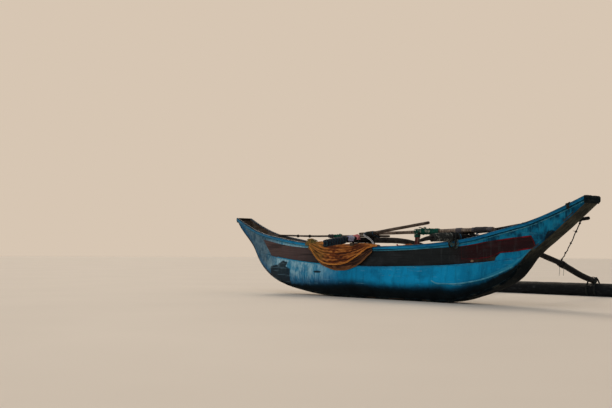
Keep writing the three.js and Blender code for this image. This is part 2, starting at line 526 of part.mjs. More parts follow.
// --------------------------------------------------------------------- poles
const foreTop = foreZ + BOOM_R, aftTop = aftZ + BOOM_R;
const LONG_POLE = [[-3.27, 0.146, 1.247, 0.018], [-2.22, 0.134, 1.217, 0.0195], [-0.57, 0.112, aftTop + 0.0225, 0.021], [0.06, 0.104, aftTop + 0.013, 0.021]];
add('long_pole', 'pole_wood', bar(LONG_POLE.map((r) => r.slice(0, 3)), LONG_POLE.map((r) => r[3]), 8, 0, 0.3));
const MAST = [[-0.72, 0.085, aftTop + 0.0700, 0.0245], [0.00, 0.078, aftTop + 0.0710, 0.029], [0.93, 0.068, 1.2575, 0.034], [1.86, 0.056, 1.271, 0.037], [2.50, 0.052, 1.274, 0.038]];
add('mast_pole', 'pole_wood', bar(MAST.map((r) => r.slice(0, 3)), MAST.map((r) => r[3]), 10, 0, 0.3));
const SPRIT = [[-0.46, -0.060, 1.219, 0.028], [0.40, -0.055, 1.325, 0.030], [1.157, -0.050, 1.4175, 0.0285]];
add('sprit_pole', 'pole_wood', bar(SPRIT.map((r) => r.slice(0, 3)), SPRIT.map((r) => r[3]), 8, 0, 0.3));
const BOWPOLE = [[1.42, 0.098, 1.196, 0.024], [1.86, 0.112, foreTop + 0.0290, 0.025], [2.42, 0.179, 1.278, 0.026], [2.935, 0.242, 1.349, 0.0265], [3.95, 0.364, 1.421, 0.029], [4.07, 0.379, 1.434, 0.029]];
add('bow_pole', 'dark_wood', bar(BOWPOLE.map((r) => r.slice(0, 3)), BOWPOLE.map((r) => r[3]), 8, 0, 0.3));
{
  // crutch: stands on the mast thwart and carries the mast
  const zt = hull.z_sheer(0.76) - 0.20 + GAP / M, top = 1.2200;
  const l = (x, z, w, d) => [[x - w, 0.066 - d, z], [x + w, 0.066 - d, z], [x + w, 0.066 + d, z], [x - w, 0.066 + d, z]];
  add('crutch_post', 'red_wood', loft([l(0.738, zt, 0.034, 0.028), l(0.795, top, 0.042, 0.028)]));
}
// Rope turns that hold the poles together:
//  name, finish, x from, x to, [centre y, centre z, half width, half height, corner], thickness
const BANDS = [
  ['mast_lashing_green', 'green_rope', 0.860, 1.310, [0.066, 1.2600, 0.042, 0.042, 0.042], 0.012],
  ['pole_lashing_aft', 'dark_rope', -0.440, -0.220, [0.0215, 1.2245, 0.116, 0.0570, 0.034], 0.011],
  ['pole_lashing_fore', 'dark_rope', 2.090, 2.360, [0.1070, 1.2710, 0.0985, 0.0475, 0.035], 0.011],
];
for (const [nm, fin, x0, x1, outline, t] of BANDS) add(nm, fin, band('yz', outline, t, x0, x1));
// stay from the bow pole's end down to the fore boom
const STAY = [[3.925, 0.361, 1.382], [3.44, 1.017, 1.195], [2.96, 1.673, 1.020], [2.47, 2.329, 0.862], [1.998, 2.985, 0.735]];
add('bow_stay', 'dark_rope', bar(STAY, STAY.map(() => 0.007), 8, 0, 0));

// ----------------------------------------------------------------------- net
// Net hung over the near gunwale: lower edge x, z.
const NET_EDGE = [[-1.85, 0.955], [-1.77, 0.905], [-1.66, 0.806], [-1.53, 0.708], [-1.42, 0.638], [-1.17, 0.558], [-0.97, 0.523], [-0.78, 0.524],
  [-0.50, 0.583], [-0.33, 0.666], [-0.17, 0.790], [-0.04, 0.885]];
const netBottom = pchip(NET_EDGE.map((p) => p[0]), NET_EDGE.map((p) => p[1]));
const NET_T = 0.024;
function netLoop(x) {
  const s = hull.half_sheer(x), z = hull.z_sheer(x), hl = hull.half_ledge(x), zl = hull.z_ledge(x), zb = netBottom(x);
  const path = [[s - 0.036, z - 0.15], [s - 0.036, z + 0.006], [s - 0.032, z + 0.020], [s + 0.034, z + 0.020],
    [s + 0.041, z + 0.004], [s + 0.046, z - 0.080], [hl + 0.006, zl + 0.026], [shellY(x, zl - 0.05) + 0.008, zl - 0.05],
    [shellY(x, zl - 0.11) + 0.008, zl - 0.11], [shellY(x, zl - 0.17) + 0.008, zl - 0.17]];
  // drop the part below the lower edge
  const cutp = [];
  for (let i = 0; i < path.length; i++) {
    if (i > 5 && path[i][1] < zb) {
      const a = path[i - 1], b = path[i], t = (a[1] - zb) / (a[1] - b[1]);
      cutp.push([a[0] + (b[0] - a[0]) * t, zb]);
      break;
    }
    cutp.push(path[i]);
  }
  if (cutp.length < 7) while (cutp.length < 7) cutp.push([cutp[cutp.length - 1][0], cutp[cutp.length - 1][1] - 0.004]);
  // five fixed points over the rail, then eight along the hanging part
  const head = cutp.slice(0, 6), tail = cutp.slice(5);
  let len = 0; const acc = [0];
  for (let i = 1; i < tail.length; i++) { len += Math.hypot(tail[i][0] - tail[i - 1][0], tail[i][1] - tail[i - 1][1]); acc.push(len); }
  const inner = [...head];
  for (let k = 1; k <= 6; k++) {
    const d = len * k / 6; let i = 1;
    while (i < acc.length - 1 && acc[i] < d) i++;
    const t = (d - acc[i - 1]) / (acc[i] - acc[i - 1]);
    inner.push([tail[i - 1][0] + (tail[i][0] - tail[i - 1][0]) * t, tail[i - 1][1] + (tail[i][1] - tail[i - 1][1]) * t]);
  }
  const outer = inner.map((p, i) => {
    const a = inner[Math.max(0, i - 1)], b = inner[Math.min(inner.length - 1, i + 1)];
    const dx = b[0] - a[0], dz = b[1] - a[1], l = Math.hypot(dx, dz);
    // left of the travel direction: away from the rail
    return [p[0] - dz / l * NET_T, p[1] + dx / l * NET_T];
  });
  return [...inner.map((p) => [x, -p[0], p[1]]), ...outer.reverse().map((p) => [x, -p[0], p[1]])];
}
{
  const g = loft(between(-1.84, -0.04).map(netLoop));
  const y = hull.half_sheer(BOOM_AFT_X);
  add('net_drape', 'net', cut(g,
    box(BOOM_AFT_X - 0.10, BOOM_AFT_X + 0.10, -(y + 0.012), -0.08, 0.70, 1.40),
    box(BOOM_AFT_X - 0.06, BOOM_AFT_X + 0.06, -0.34, -0.08, railTop(BOOM_AFT_X) + 0.001, 1.40)));
}

export default group;
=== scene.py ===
"""Beached outrigger canoe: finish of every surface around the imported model.

Metres, +Z up, +X to the higher end (bow), +Y to the float. The near side is -Y.
"""
import math

import bpy
import numpy as np
from mathutils import Matrix, Vector


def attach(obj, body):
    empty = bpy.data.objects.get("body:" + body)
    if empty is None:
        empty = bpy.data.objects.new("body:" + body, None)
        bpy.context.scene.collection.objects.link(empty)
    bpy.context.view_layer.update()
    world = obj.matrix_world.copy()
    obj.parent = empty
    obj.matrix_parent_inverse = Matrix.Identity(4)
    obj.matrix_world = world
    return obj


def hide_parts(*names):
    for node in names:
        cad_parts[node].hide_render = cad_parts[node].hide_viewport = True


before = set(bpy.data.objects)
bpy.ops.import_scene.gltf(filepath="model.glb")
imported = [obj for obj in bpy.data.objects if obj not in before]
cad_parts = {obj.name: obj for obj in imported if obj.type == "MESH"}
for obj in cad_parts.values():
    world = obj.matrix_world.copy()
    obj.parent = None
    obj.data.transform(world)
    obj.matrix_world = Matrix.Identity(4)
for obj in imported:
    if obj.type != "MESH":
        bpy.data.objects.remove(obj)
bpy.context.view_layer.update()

rng = np.random.default_rng(20)


# ======================================================================
# camera, light, floor
# ======================================================================
HEADING = math.radians(47.7)
PITCH = math.atan((252.8 - 204.0) / 850.0)
ROLL = 0.004
EYE = Vector((11.01838709, -12.03167565, 0.864))


def make_camera():
    ahead = Vector((-math.sin(HEADING), math.cos(HEADING), 0.0))
    right = Vector((math.cos(HEADING), math.sin(HEADING), 0.0))
    z = Vector((0.0, 0.0, 1.0))
    look = ahead * math.cos(PITCH) + z * math.sin(PITCH)
    up = z * math.cos(PITCH) - ahead * math.sin(PITCH)
    r2 = right * math.cos(ROLL) + up * math.sin(ROLL)
    u2 = up * math.cos(ROLL) - right * math.sin(ROLL)
    data = bpy.data.cameras.new("camera")
    data.lens = 50.0
    data.sensor_width = 36.0
    data.sensor_fit = "HORIZONTAL"
    data.clip_end = 400.0
    cam = bpy.data.objects.new("camera", data)
    m = Matrix.Identity(4)
    for i in range(3):
        m[i][0], m[i][1], m[i][2], m[i][3] = r2[i], u2[i], -look[i], EYE[i]
    cam.matrix_world = m
    bpy.context.scene.collection.objects.link(cam)
    bpy.context.scene.camera = cam


make_camera()


def sun(name, azimuth, height, spread_deg, strength, colour):
    """Very large soft light from one side: azimuth from +X, counter-clockwise."""
    d = bpy.data.lights.new(name, "SUN")
    d.energy = strength
    d.angle = math.radians(spread_deg)
    d.color = colour
    o = bpy.data.objects.new(name, d)
    a, h = math.radians(azimuth), math.radians(height)
    to = Vector((math.cos(a) * math.cos(h), math.sin(a) * math.cos(h), math.sin(h)))
    o.rotation_euler = (-to).to_track_quat("-Z", "Y").to_euler()
    bpy.context.scene.collection.objects.link(o)
    return o


def lights():
    # broad warm light from behind on the stern side, a soft cool fill from the viewer's side
    sun("light_back", 152, 34, 24, 1.15, (1.0, 0.87, 0.72))
    sun("light_front", -70, 38, 70, 0.74, (0.90, 0.96, 1.0))
    w = bpy.data.worlds.new("studio")
    bpy.context.scene.world = w
    w.use_nodes = True
    t = w.node_tree
    bg = t.nodes["Background"]
    # a smooth studio backdrop: warm and bright behind the boat, cooler and dimmer in front of it
    co = t.nodes.new("ShaderNodeTexCoord")
    dot = t.nodes.new("ShaderNodeVectorMath")
    dot.operation = "DOT_PRODUCT"
    dot.inputs[1].default_value = (-0.74, 0.673, 0.0)
    t.links.new(co.outputs["Generated"], dot.inputs[0])
    mr = t.nodes.new("ShaderNodeMapRange")
    mr.interpolation_type = "SMOOTHSTEP"
    mr.inputs["From Min"].default_value = -0.55
    mr.inputs["From Max"].default_value = 0.75
    t.links.new(dot.outputs["Value"], mr.inputs["Value"])
    mx = t.nodes.new("ShaderNodeMix")
    mx.data_type = "RGBA"
    mx.inputs[6].default_value = (0.42, 0.47, 0.54, 1)
    mx.inputs[7].default_value = (1.36, 1.13, 0.90, 1)
    t.links.new(mr.outputs[0], mx.inputs[0])
    t.links.new(mx.outputs[2], bg.inputs[0])
    bg.inputs[1].default_value = 0.50
    sc = bpy.context.scene
    sc.view_settings.view_transform = "Standard"
    sc.view_settings.look = "None"


lights()


# ======================================================================
# small node-tree language
# ======================================================================
class Mat:
    """A Principled material with short names for the nodes it uses."""

    def __init__(self, name):
        self.m = bpy.data.materials.new(name)
        self.m.use_nodes = True
        self.t = self.m.node_tree
        self.t.nodes.clear()
        self.out = self.t.nodes.new("ShaderNodeOutputMaterial")
        self.b = self.t.nodes.new("ShaderNodeBsdfPrincipled")
        self.t.links.new(self.b.outputs[0], self.out.inputs[0])
        self.obj = self.t.nodes.new("ShaderNodeTexCoord").outputs["Object"]

    def put(self, sock, v):
        if isinstance(v, bpy.types.NodeSocket):
            self.t.links.new(v, sock)
        elif isinstance(v, (tuple, list)) and len(v) == 3 and sock.type == "RGBA":
            sock.default_value = (*v, 1.0)
        else:
            sock.default_value = v

    def node(self, kind, ins=(), out=0, **props):
        n = self.t.nodes.new(kind)
        for k, v in props.items():
            setattr(n, k, v)
        for i, v in (ins.items() if isinstance(ins, dict) else enumerate(ins)):
            self.put(n.inputs[i], v)
        return n.outputs[out]

    def attr(self, name, vector=False):
        n = self.t.nodes.new("ShaderNodeAttribute")
        n.attribute_name = name
        return n.outputs["Vector"] if vector else n.outputs["Fac"]

    def stretch(self, vec, s, shift=(0, 0, 0)):
        return self.node("ShaderNodeMapping", {"Vector": vec, "Scale": s, "Location": shift})

    def noise(self, vec, scale, detail=3.0, rough=0.5, dist=0.0):
        return self.node("ShaderNodeTexNoise", {"Vector": vec, "Scale": scale, "Detail": detail, "Roughness": rough, "Distortion": dist})

    def cells(self, vec, scale, feature="F1", rnd=1.0):
        return self.node("ShaderNodeTexVoronoi", {"Vector": vec, "Scale": scale, "Randomness": rnd}, feature=feature)

    def math(self, op, a, b=0.0, c=0.0, clamp=False):
        return self.node("ShaderNodeMath", [a, b, c], operation=op, use_clamp=clamp)

    def add(self, a, b):
        return self.math("ADD", a, b)

    def mul(self, a, b):
        return self.math("MULTIPLY", a, b)

    def step(self, v, lo, hi, a=0.0, b=1.0, smooth=True):
        return self.node("ShaderNodeMapRange", {"Value": v, "From Min": lo, "From Max": hi, "To Min": a, "To Max": b},
                         interpolation_type="SMOOTHSTEP" if smooth else "LINEAR")

    def mix(self, f, a, b, blend="MIX"):
        return self.node("ShaderNodeMix", {0: f, 6: a, 7: b}, out=2, data_type="RGBA", blend_type=blend, clamp_factor=True)

    def lerp(self, f, a, b):
        return self.node("ShaderNodeMix", {0: f, 2: a, 3: b}, out=0, data_type="FLOAT", clamp_factor=True)

    def add_vec(self, v, f):
        return self.node("ShaderNodeVectorMath", [v, self.node("ShaderNodeCombineXYZ", [f, f, f])], operation="ADD")

    def xyz(self, vec=None):
        n = self.t.nodes.new("ShaderNodeSeparateXYZ")
        self.put(n.inputs[0], vec or self.obj)
        return n.outputs

    def ramp(self, f, stops, ease=False):
        n = self.t.nodes.new("ShaderNodeValToRGB")
        self.put(n.inputs[0], f)
        e = n.color_ramp.elements
        if ease:
            n.color_ramp.interpolation = "EASE"
        while len(e) < len(stops):
            e.new(0.5)
        for k, (p, c) in zip(e, stops):
            k.position = p
            k.color = (*c, 1.0)
        return n.outputs[0]

    def bump(self, height, strength=0.5, dist=0.002, normal=None):
        ins = {"Height": height, "Strength": strength, "Distance": dist}
        if normal is not None:
            ins["Normal"] = normal
        return self.node("ShaderNodeBump", ins)

    def finish(self, colour, rough, normal=None, shine=0.16, **flat):
        self.put(self.b.inputs["Base Color"], colour)
        self.b.inputs["Specular IOR Level"].default_value = shine
        self.put(self.b.inputs["Roughness"], rough)
        if normal is not None:
            self.put(self.b.inputs["Normal"], normal)
        for k, v in flat.items():
            self.b.inputs[k.replace("_", " ")].default_value = v
        return self.m


# ======================================================================
# mesh code
# ======================================================================
class Geo:
    """Collects vertices, faces, per-vertex values and face materials."""

    def __init__(self):
        self.v, self.q, self.t = [], [], []
        self.qm, self.tm = [], []
        self.a = {}
        self.n = 0

    def add(self, verts, quads=None, tris=None, mat=0, **attrs):
        verts = np.asarray(verts, float).reshape(-1, 3)
        k = len(verts)
        self.v.append(verts)
        if quads is not None and len(quads):
            q = np.asarray(quads, int).reshape(-1, 4) + self.n
            self.q.append(q)
            self.qm.append(np.broadcast_to(np.asarray(mat, int), (len(q),)))
        if tris is not None and len(tris):
            t = np.asarray(tris, int).reshape(-1, 3) + self.n
            self.t.append(t)
            self.tm.append(np.broadcast_to(np.asarray(mat, int) if np.ndim(mat) == 0 else 0, (len(t),)))
        for name, val in attrs.items():
            self.a.setdefault(name, []).append((self.n, np.asarray(val, float)))
        self.n += k
        return self

    def object(self, name, mats, smooth=True, sharp=None, fix_normals=True):
        v = np.concatenate(self.v).astype(np.float32)
        q = np.concatenate(self.q) if self.q else np.zeros((0, 4), int)
        t = np.concatenate(self.t) if self.t else np.zeros((0, 3), int)
        me = bpy.data.meshes.new(name)
        me.vertices.add(len(v))
        me.vertices.foreach_set("co", v.ravel())
        loops = np.concatenate([q.ravel(), t.ravel()]).astype(np.int32)
        me.loops.add(len(loops))
        me.loops.foreach_set("vertex_index", loops)
        nf = len(q) + len(t)
        me.polygons.add(nf)
        starts = np.concatenate([np.arange(len(q)) * 4, len(q) * 4 + np.arange(len(t)) * 3]).astype(np.int32)
        me.polygons.foreach_set("loop_start", starts)
        mi = np.concatenate([*(self.qm or [np.zeros(0, int)]), *(self.tm or [np.zeros(0, int)])]).astype(np.int32)
        me.polygons.foreach_set("material_index", mi)
        me.polygons.foreach_set("use_smooth", np.full(nf, bool(smooth)))
        me.update(calc_edges=True)
        for a, parts in self.a.items():
            vec = parts[0][1].ndim == 2
            full = np.zeros((len(v), 3) if vec else len(v), np.float32)
            for at, val in parts:
                full[at:at + len(val)] = val
            at = me.attributes.new(a, "FLOAT_VECTOR" if vec else "FLOAT", "POINT")
            at.data.foreach_set("vector" if vec else "value", full.ravel())
        for m in mats:
            me.materials.append(m)
        if me.validate():
            print("mesh repaired:", name)
        if fix_normals:
            turn_out(me)
        if sharp is not None:
            me.set_sharp_from_angle(angle=math.radians(sharp))
        ob = bpy.data.objects.new(name, me)
        bpy.context.scene.collection.objects.link(ob)
        return ob


def turn_out(me):
    """Faces out on every closed part of the mesh."""
    import bmesh
    bm = bmesh.new()
    bm.from_mesh(me)
    bmesh.ops.recalc_face_normals(bm, faces=bm.faces)
    bm.to_mesh(me)
    bm.free()


def grid_quads(n, m, close_v=True, close_u=False):
    """Quads of an n by m grid of points (n stations, m around)."""
    i = np.arange(n if close_u else n - 1)[:, None]
    j = np.arange(m if close_v else m - 1)[None, :]
    i2, j2 = (i + 1) % n, (j + 1) % m
    return np.stack([i * m + j + 0 * i, i * m + j2 + 0 * i, i2 * m + j2, i2 * m + j], -1).reshape(-1, 4)


def strip_cap(o, m, back=False):
    """Cap of a loop of m points from o on: strips of point i against m-1-i."""
    t = []
    for i in range(m // 2):
        a, b, c, d = i, i + 1, m - 2 - i, m - 1 - i
        if b < c:
            t += [(a, b, d), (b, c, d)]
        elif b == c:
            t += [(a, b, d)]
    t = np.array(t, int) + o
    return t[:, ::-1] if back else t


def fan_cap(o, m, centre, back=False):
    j = np.arange(m)
    t = np.stack([np.full(m, centre), o + j, o + (j + 1) % m], -1)
    return t[:, ::-1] if back else t


def pchip(xs, ys):
    """Monotone cubic through a table's column, as in the part's source."""
    xs, ys = np.asarray(xs, float), np.asarray(ys, float)
    h = np.diff(xs)
    d = np.diff(ys) / h
    m = np.zeros(len(xs))
    m[0], m[-1] = d[0], d[-1]
    for i in range(1, len(xs) - 1):
        if d[i - 1] * d[i] > 0:
            w1, w2 = 2 * h[i] + h[i - 1], h[i] + 2 * h[i - 1]
            m[i] = (w1 + w2) / (w1 / d[i - 1] + w2 / d[i])

    def f(x):
        x = np.asarray(x, float)
        i = np.clip(np.searchsorted(xs, x, side="left") - 1, 0, len(h) - 1)
        t = (x - xs[i]) / h[i]
        t2, t3 = t * t, t * t * t
        r = ((2 * t3 - 3 * t2 + 1) * ys[i] + (t3 - 2 * t2 + t) * h[i] * m[i]
             + (-2 * t3 + 3 * t2) * ys[i + 1] + (t3 - t2) * h[i] * m[i + 1])
        r = np.where(x < xs[0], ys[0] + m[0] * (x - xs[0]), r)
        return np.where(x > xs[-1], ys[-1] + m[-1] * (x - xs[-1]), r)
    return f


class Wob:
    """Smooth hand-made unevenness: a sum of waves in the plane, in metres."""

    def __init__(self, seed, amp, shortest, longest, n=14, across=1.0):
        r = np.random.default_rng(seed)
        lam = np.exp(r.uniform(math.log(shortest), math.log(longest), n))
        ang = r.uniform(0, math.pi, n)
        self.k = 2 * math.pi / lam[:, None] * np.stack([np.cos(ang), np.sin(ang) * across], -1)
        self.p = r.uniform(0, 2 * math.pi, n)
        w = lam / longest
        self.w = amp * w / math.sqrt((w ** 2).sum() / 2)

    def __call__(self, u, v=0.0):
        u, v = np.broadcast_arrays(np.asarray(u, float), np.asarray(v, float))
        s = np.zeros(u.shape)
        for k, p, w in zip(self.k, self.p, self.w):
            s = s + w * np.sin(k[0] * u + k[1] * v + p)
        return s


def rounded(corners, radii, arc=3):
    """Section with its corners rounded. corners: k x 2, radii: k. Returns points and 1 at each arc, 0 elsewhere."""
    c = np.asarray(corners, float)
    out, edge = [], []
    k = len(c)
    for i in range(k):
        p, a, b = c[i], c[i - 1], c[(i + 1) % k]
        r = radii[i]
        if r <= 0:
            out.append(p)
            edge.append(0.0)
            continue
        da, db = a - p, b - p
        la, lb = np.hypot(*da), np.hypot(*db)
        ra, rb = min(r, 0.45 * la), min(r, 0.45 * lb)
        s, e = p + da / la * ra, p + db / lb * rb
        for j in range(arc + 1):
            t = j / arc
            out.append((1 - t) ** 2 * s + 2 * t * (1 - t) * p + t * t * e)
            edge.append(1.0)
    return np.array(out), np.array(edge)


def refine(points, edge, most):
    """Adds points on a closed section's long sides, the same number at each station: most is a list of counts."""
    p, e = [], []
    k = len(points)
    for i in range(k):
        a, b = points[i], points[(i + 1) % k]
        n = most[i]
        for j in range(n):
            t = j / n
            p.append(a + (b - a) * t)
            e.append(max(edge[i] * max(0, 1 - t * n), edge[(i + 1) % k] * max(0, 1 - (1 - t) * n)))
    return np.array(p), np.array(e)


# ======================================================================
# the hull's lines, as in the part's source
# ======================================================================
BOW_X, STERN_X, CAP_LEN = 4.320, -4.285, 0.045
PLANK_T, SHELL_T, WASH_T, FLANGE_T = 0.034, 0.030, 0.022, 0.026
PLANK_JOINT_BOW, PLANK_JOINT_STERN = 2.95, -3.05
BOTTOM_JOINTS = (-1.00, 1.35)
SHELL_JOINTS = (-1.45, 1.20)
RAIL_OUT, RAIL_H, RAIL_LIP, HOLE_DROP = 0.034, 0.046, 0.014, 0.094
BOOM_R, FLOAT_R, FLOAT_Y, FLOAT_X0, FLOAT_X1 = 0.055, 0.135, 4.10, -2.15, 3.45
BOOM_FORE_X, BOOM_AFT_X = 1.86, -0.57
LASH_FORE_NEAR_X, LASH_FORE_FAR_X, SEAT_H = 1.857, 1.873, 0.064
GAP = 0.0004
HULL = np.array([
    # x, half_bottom, half_ledge, ledge_width, bulge, z_ledge, half_sheer, z_sheer
    [-4.32, .185, .185, 0, 0, 1.60, .185, 1.645], [-3.90, .188, .188, 0, 0, 1.10, .188, 1.452],
    [-3.55, .188, .192, .004, .004, .885, .192, 1.325], [-3.20, .186, .215, .015, .022, .820, .197, 1.237],
    [-2.80, .182, .240, .030, .045, .755, .203, 1.172], [-2.20, .180, .268, .042, .072, .690, .211, 1.082],
    [-1.50, .180, .288, .050, .090, .640, .218, 1.020], [-0.70, .180, .298, .052, .100, .610, .222, .986],
    [0.00, .180, .300, .052, .100, .600, .224, .978], [0.70, .180, .298, .052, .100, .612, .222, .993],
    [1.50, .178, .288, .050, .090, .637, .218, 1.040], [2.20, .175, .262, .040, .068, .682, .211, 1.122],
    [2.70, .175, .235, .028, .042, .730, .205, 1.228], [3.05, .186, .212, .014, .020, .778, .200, 1.305],
    [3.30, .191, .195, .004, .004, .820, .196, 1.362], [3.80, .190, .190, 0, 0, 1.200, .190, 1.530],
    [4.32, .190, .190, 0, 0, 1.700, .190, 1.740]])
half_bottom, half_ledge, ledge_width, bulge, z_ledge, half_sheer, z_sheer = [pchip(HULL[:, 0], HULL[:, i]) for i in range(1, 8)]
PROFILE = np.array([
    (-4.36, 1.640), (-4.21, 1.445), (-4.06, 1.300), (-3.91, 1.175), (-3.79, 1.065), (-3.69, .955), (-3.62, .850), (-3.54, .730),
    (-3.44, .615), (-3.30, .495), (-3.14, .390), (-2.95, .295), (-2.72, .220), (-2.40, .145), (-2.00, .080), (-1.60, .032),
    (-1.20, .004), (-1.00, 0), (1.35, 0), (1.60, .006), (1.90, .050), (2.18, .125), (2.50, .228), (2.78, .345), (2.97, .460),
    (3.12, .620), (3.25, .780), (3.41, .925), (3.60, 1.065), (3.84, 1.250), (4.12, 1.478), (4.40, 1.702)])
z_out = pchip(PROFILE[:, 0], PROFILE[:, 1])


def z_slope(x):
    return (z_out(x + 0.004) - z_out(x - 0.004)) / 0.008


def z_in(x):
    return z_out(x) + PLANK_T * np.sqrt(1 + z_slope(x) ** 2)


def shell_y(x, z):
    z0, z1 = z_in(x), z_ledge(x)
    t = np.clip((z - z0) / (z1 - z0), 0, 1)
    return half_bottom(x) + (half_ledge(x) - half_bottom(x)) * t + bulge(x) * np.sin(math.pi * t ** 0.8)


def wash_foot(x):
    return half_ledge(x) - ledge_width(x)


def wash_y(x, z):
    z0, z1 = np.maximum(z_ledge(x), z_in(x)), z_sheer(x)
    t = np.clip((z - z0) / (z1 - z0), 0, 1)
    return wash_foot(x) + (half_sheer(x) - wash_foot(x)) * t


def shell_end(d):
    a, b = 0.0, d * 4.0
    for _ in range(50):
        m = (a + b) / 2
        a, b = (m, b) if z_ledge(m) - z_in(m) > 0.045 else (a, m)
    return a


SHELL_BOW, SHELL_STERN = float(shell_end(1)), float(shell_end(-1))
FORE_Z = float(z_sheer(BOOM_FORE_X)) + RAIL_LIP + BOOM_R + 0.002
AFT_Z = float(z_sheer(BOOM_AFT_X)) + RAIL_LIP + SEAT_H + BOOM_R + 0.003
FORE_TOP, AFT_TOP = FORE_Z + BOOM_R, AFT_Z + BOOM_R


def rail_top(x):
    return z_sheer(x) + RAIL_LIP


# ---------------------------------------------------------------- paint lines
# near and far sides alike: x, z, metres
PANEL = np.array([
    (-3.37, 1.150), (-3.07, 1.100), (-2.74, 1.040), (-2.41, 1.000), (-2.00, .970), (-1.2, .945), (.59, .930), (1.4, .955), (2.01, .990),
    (2.30, 1.030), (2.59, 1.075), (2.87, 1.110), (3.13, 1.135), (3.37, 1.160), (3.43, 1.06), (3.46, .955), (3.37, .940), (3.02, .890),
    (2.79, .870), (2.70, .800), (2.66, .700), (2.33, .640), (0.0, .560), (-2.0, .600), (-2.81, .690), (-3.085, .780), (-3.115, .850)])
RED = np.array([(2.00, .985), (2.30, 1.018), (2.59, 1.062), (2.87, 1.097), (3.13, 1.122), (3.36, 1.146), (3.41, 1.06), (3.445, .965), (3.37, .952), (3.02, .904),
                (2.79, .884), (2.55, .800), (2.30, .775), (2.01, .770)])
DARK_BOW = np.array([(1.20, .222), (1.45, .232), (1.60, .246), (1.72, .222), (1.91, .225), (2.13, .280), (2.37, .340), (2.60, .430), (2.83, .530), (3.05, .650), (3.18, .750),
                     (3.43, .925), (3.614, 1.035), (3.733, 1.109), (3.825, 1.194), (3.993, 1.350), (4.120, 1.462), (4.196, 1.530), (4.320, 1.620), (4.40, 1.68)])
DARK_MID = np.array([(-4.5, 1.55), (-4.2, 1.40), (-3.9, 1.10), (-3.7, .86), (-3.55, .68), (-3.35, .50), (-3.1, .36), (-2.8, .27), (-2.27, .215), (-2.10, .210), (-1.76, .212), (-1.44, .212), (-1.14, .222), (-.71, .250),
                     (-.57, .258), (-.17, .240), (.20, .216), (.69, .208), (1.16, .216)])
dark_top = pchip(np.r_[DARK_MID[:, 0], DARK_BOW[:, 0]], np.r_[DARK_MID[:, 1], DARK_BOW[:, 1]])
STRAKE = np.array([(1.42, .385), (1.57, .338), (1.89, .342), (2.21, .382), (2.45, .430), (2.68, .500), (2.90, .590), (3.05, .665)])
strake_z = pchip(STRAKE[:, 0], STRAKE[:, 1])
PATCH = np.array([(-3.083, .562), (-2.983, .594), (-2.850, .608), (-2.752, .656), (-2.655, .701), (-2.478, .674), (-2.525, .585), (-2.381, .529), (-2.374, .454),
                  (-2.408, .307), (-2.40, .15), (-2.75, .17), (-3.00, .27), (-3.11, .42)])
SPOT = np.array([(3.605, 1.087), (3.632, 1.172), (3.675, 1.222), (3.738, 1.241), (3.797, 1.228), (3.834, 1.193), (3.822, 1.12), (3.77, 1.062), (3.70, 1.035), (3.63, 1.040)])
MARK = np.array([(-1.630, .488), (-1.60, .508), (-1.50, .512), (-1.405, .500), (-1.395, .478), (-1.45, .463), (-1.58, .462)])


def inside_distance(poly, x, z):
    """Distance to a polygon's outline, positive inside."""
    x, z = np.asarray(x, float), np.asarray(z, float)
    d = np.full(x.shape, 1e9)
    odd = np.zeros(x.shape, bool)
    for i in range(len(poly)):
        a, b = poly[i - 1], poly[i]
        e = b - a
        t = np.clip(((x - a[0]) * e[0] + (z - a[1]) * e[1]) / (e @ e), 0, 1)
        d = np.minimum(d, np.hypot(x - a[0] - t * e[0], z - a[1] - t * e[1]))
        hit = (a[1] > z) != (b[1] > z)
        with np.errstate(divide="ignore", invalid="ignore"):
            odd ^= hit & (x < e[0] * (z - a[1]) / (e[1] if e[1] else 1e-12) + a[0])
    return np.where(odd, d, -d)


def paint_lines(v, side):
    """Per-vertex distances to the paint's borders, from the place on the hull."""
    x, z = v[:, 0], v[:, 2]
    near = side < 0
    r = {
        "d_panel": inside_distance(PANEL, x, z),
        "d_red": -np.abs(inside_distance(RED, x, z)),
        "d_maroon": inside_distance(RED, x, z),
        "d_dark": dark_top(x) - z,
        "d_patch": inside_distance(PATCH, x, z) if near else np.full(x.shape, -1.0),
        "d_spot": np.maximum(inside_distance(SPOT, x, z), inside_distance(MARK, x, z)) if near else np.full(x.shape, -1.0),
    }
    return r


# ======================================================================
# materials
# ======================================================================
def lin(r, g, b):
    """Colour picked as 0..255 to the linear values a shader takes."""
    f = lambda c: c / 12.92 if c <= 0.04045 else ((c + 0.055) / 1.055) ** 2.4
    return tuple(f(v / 255) for v in (r, g, b))


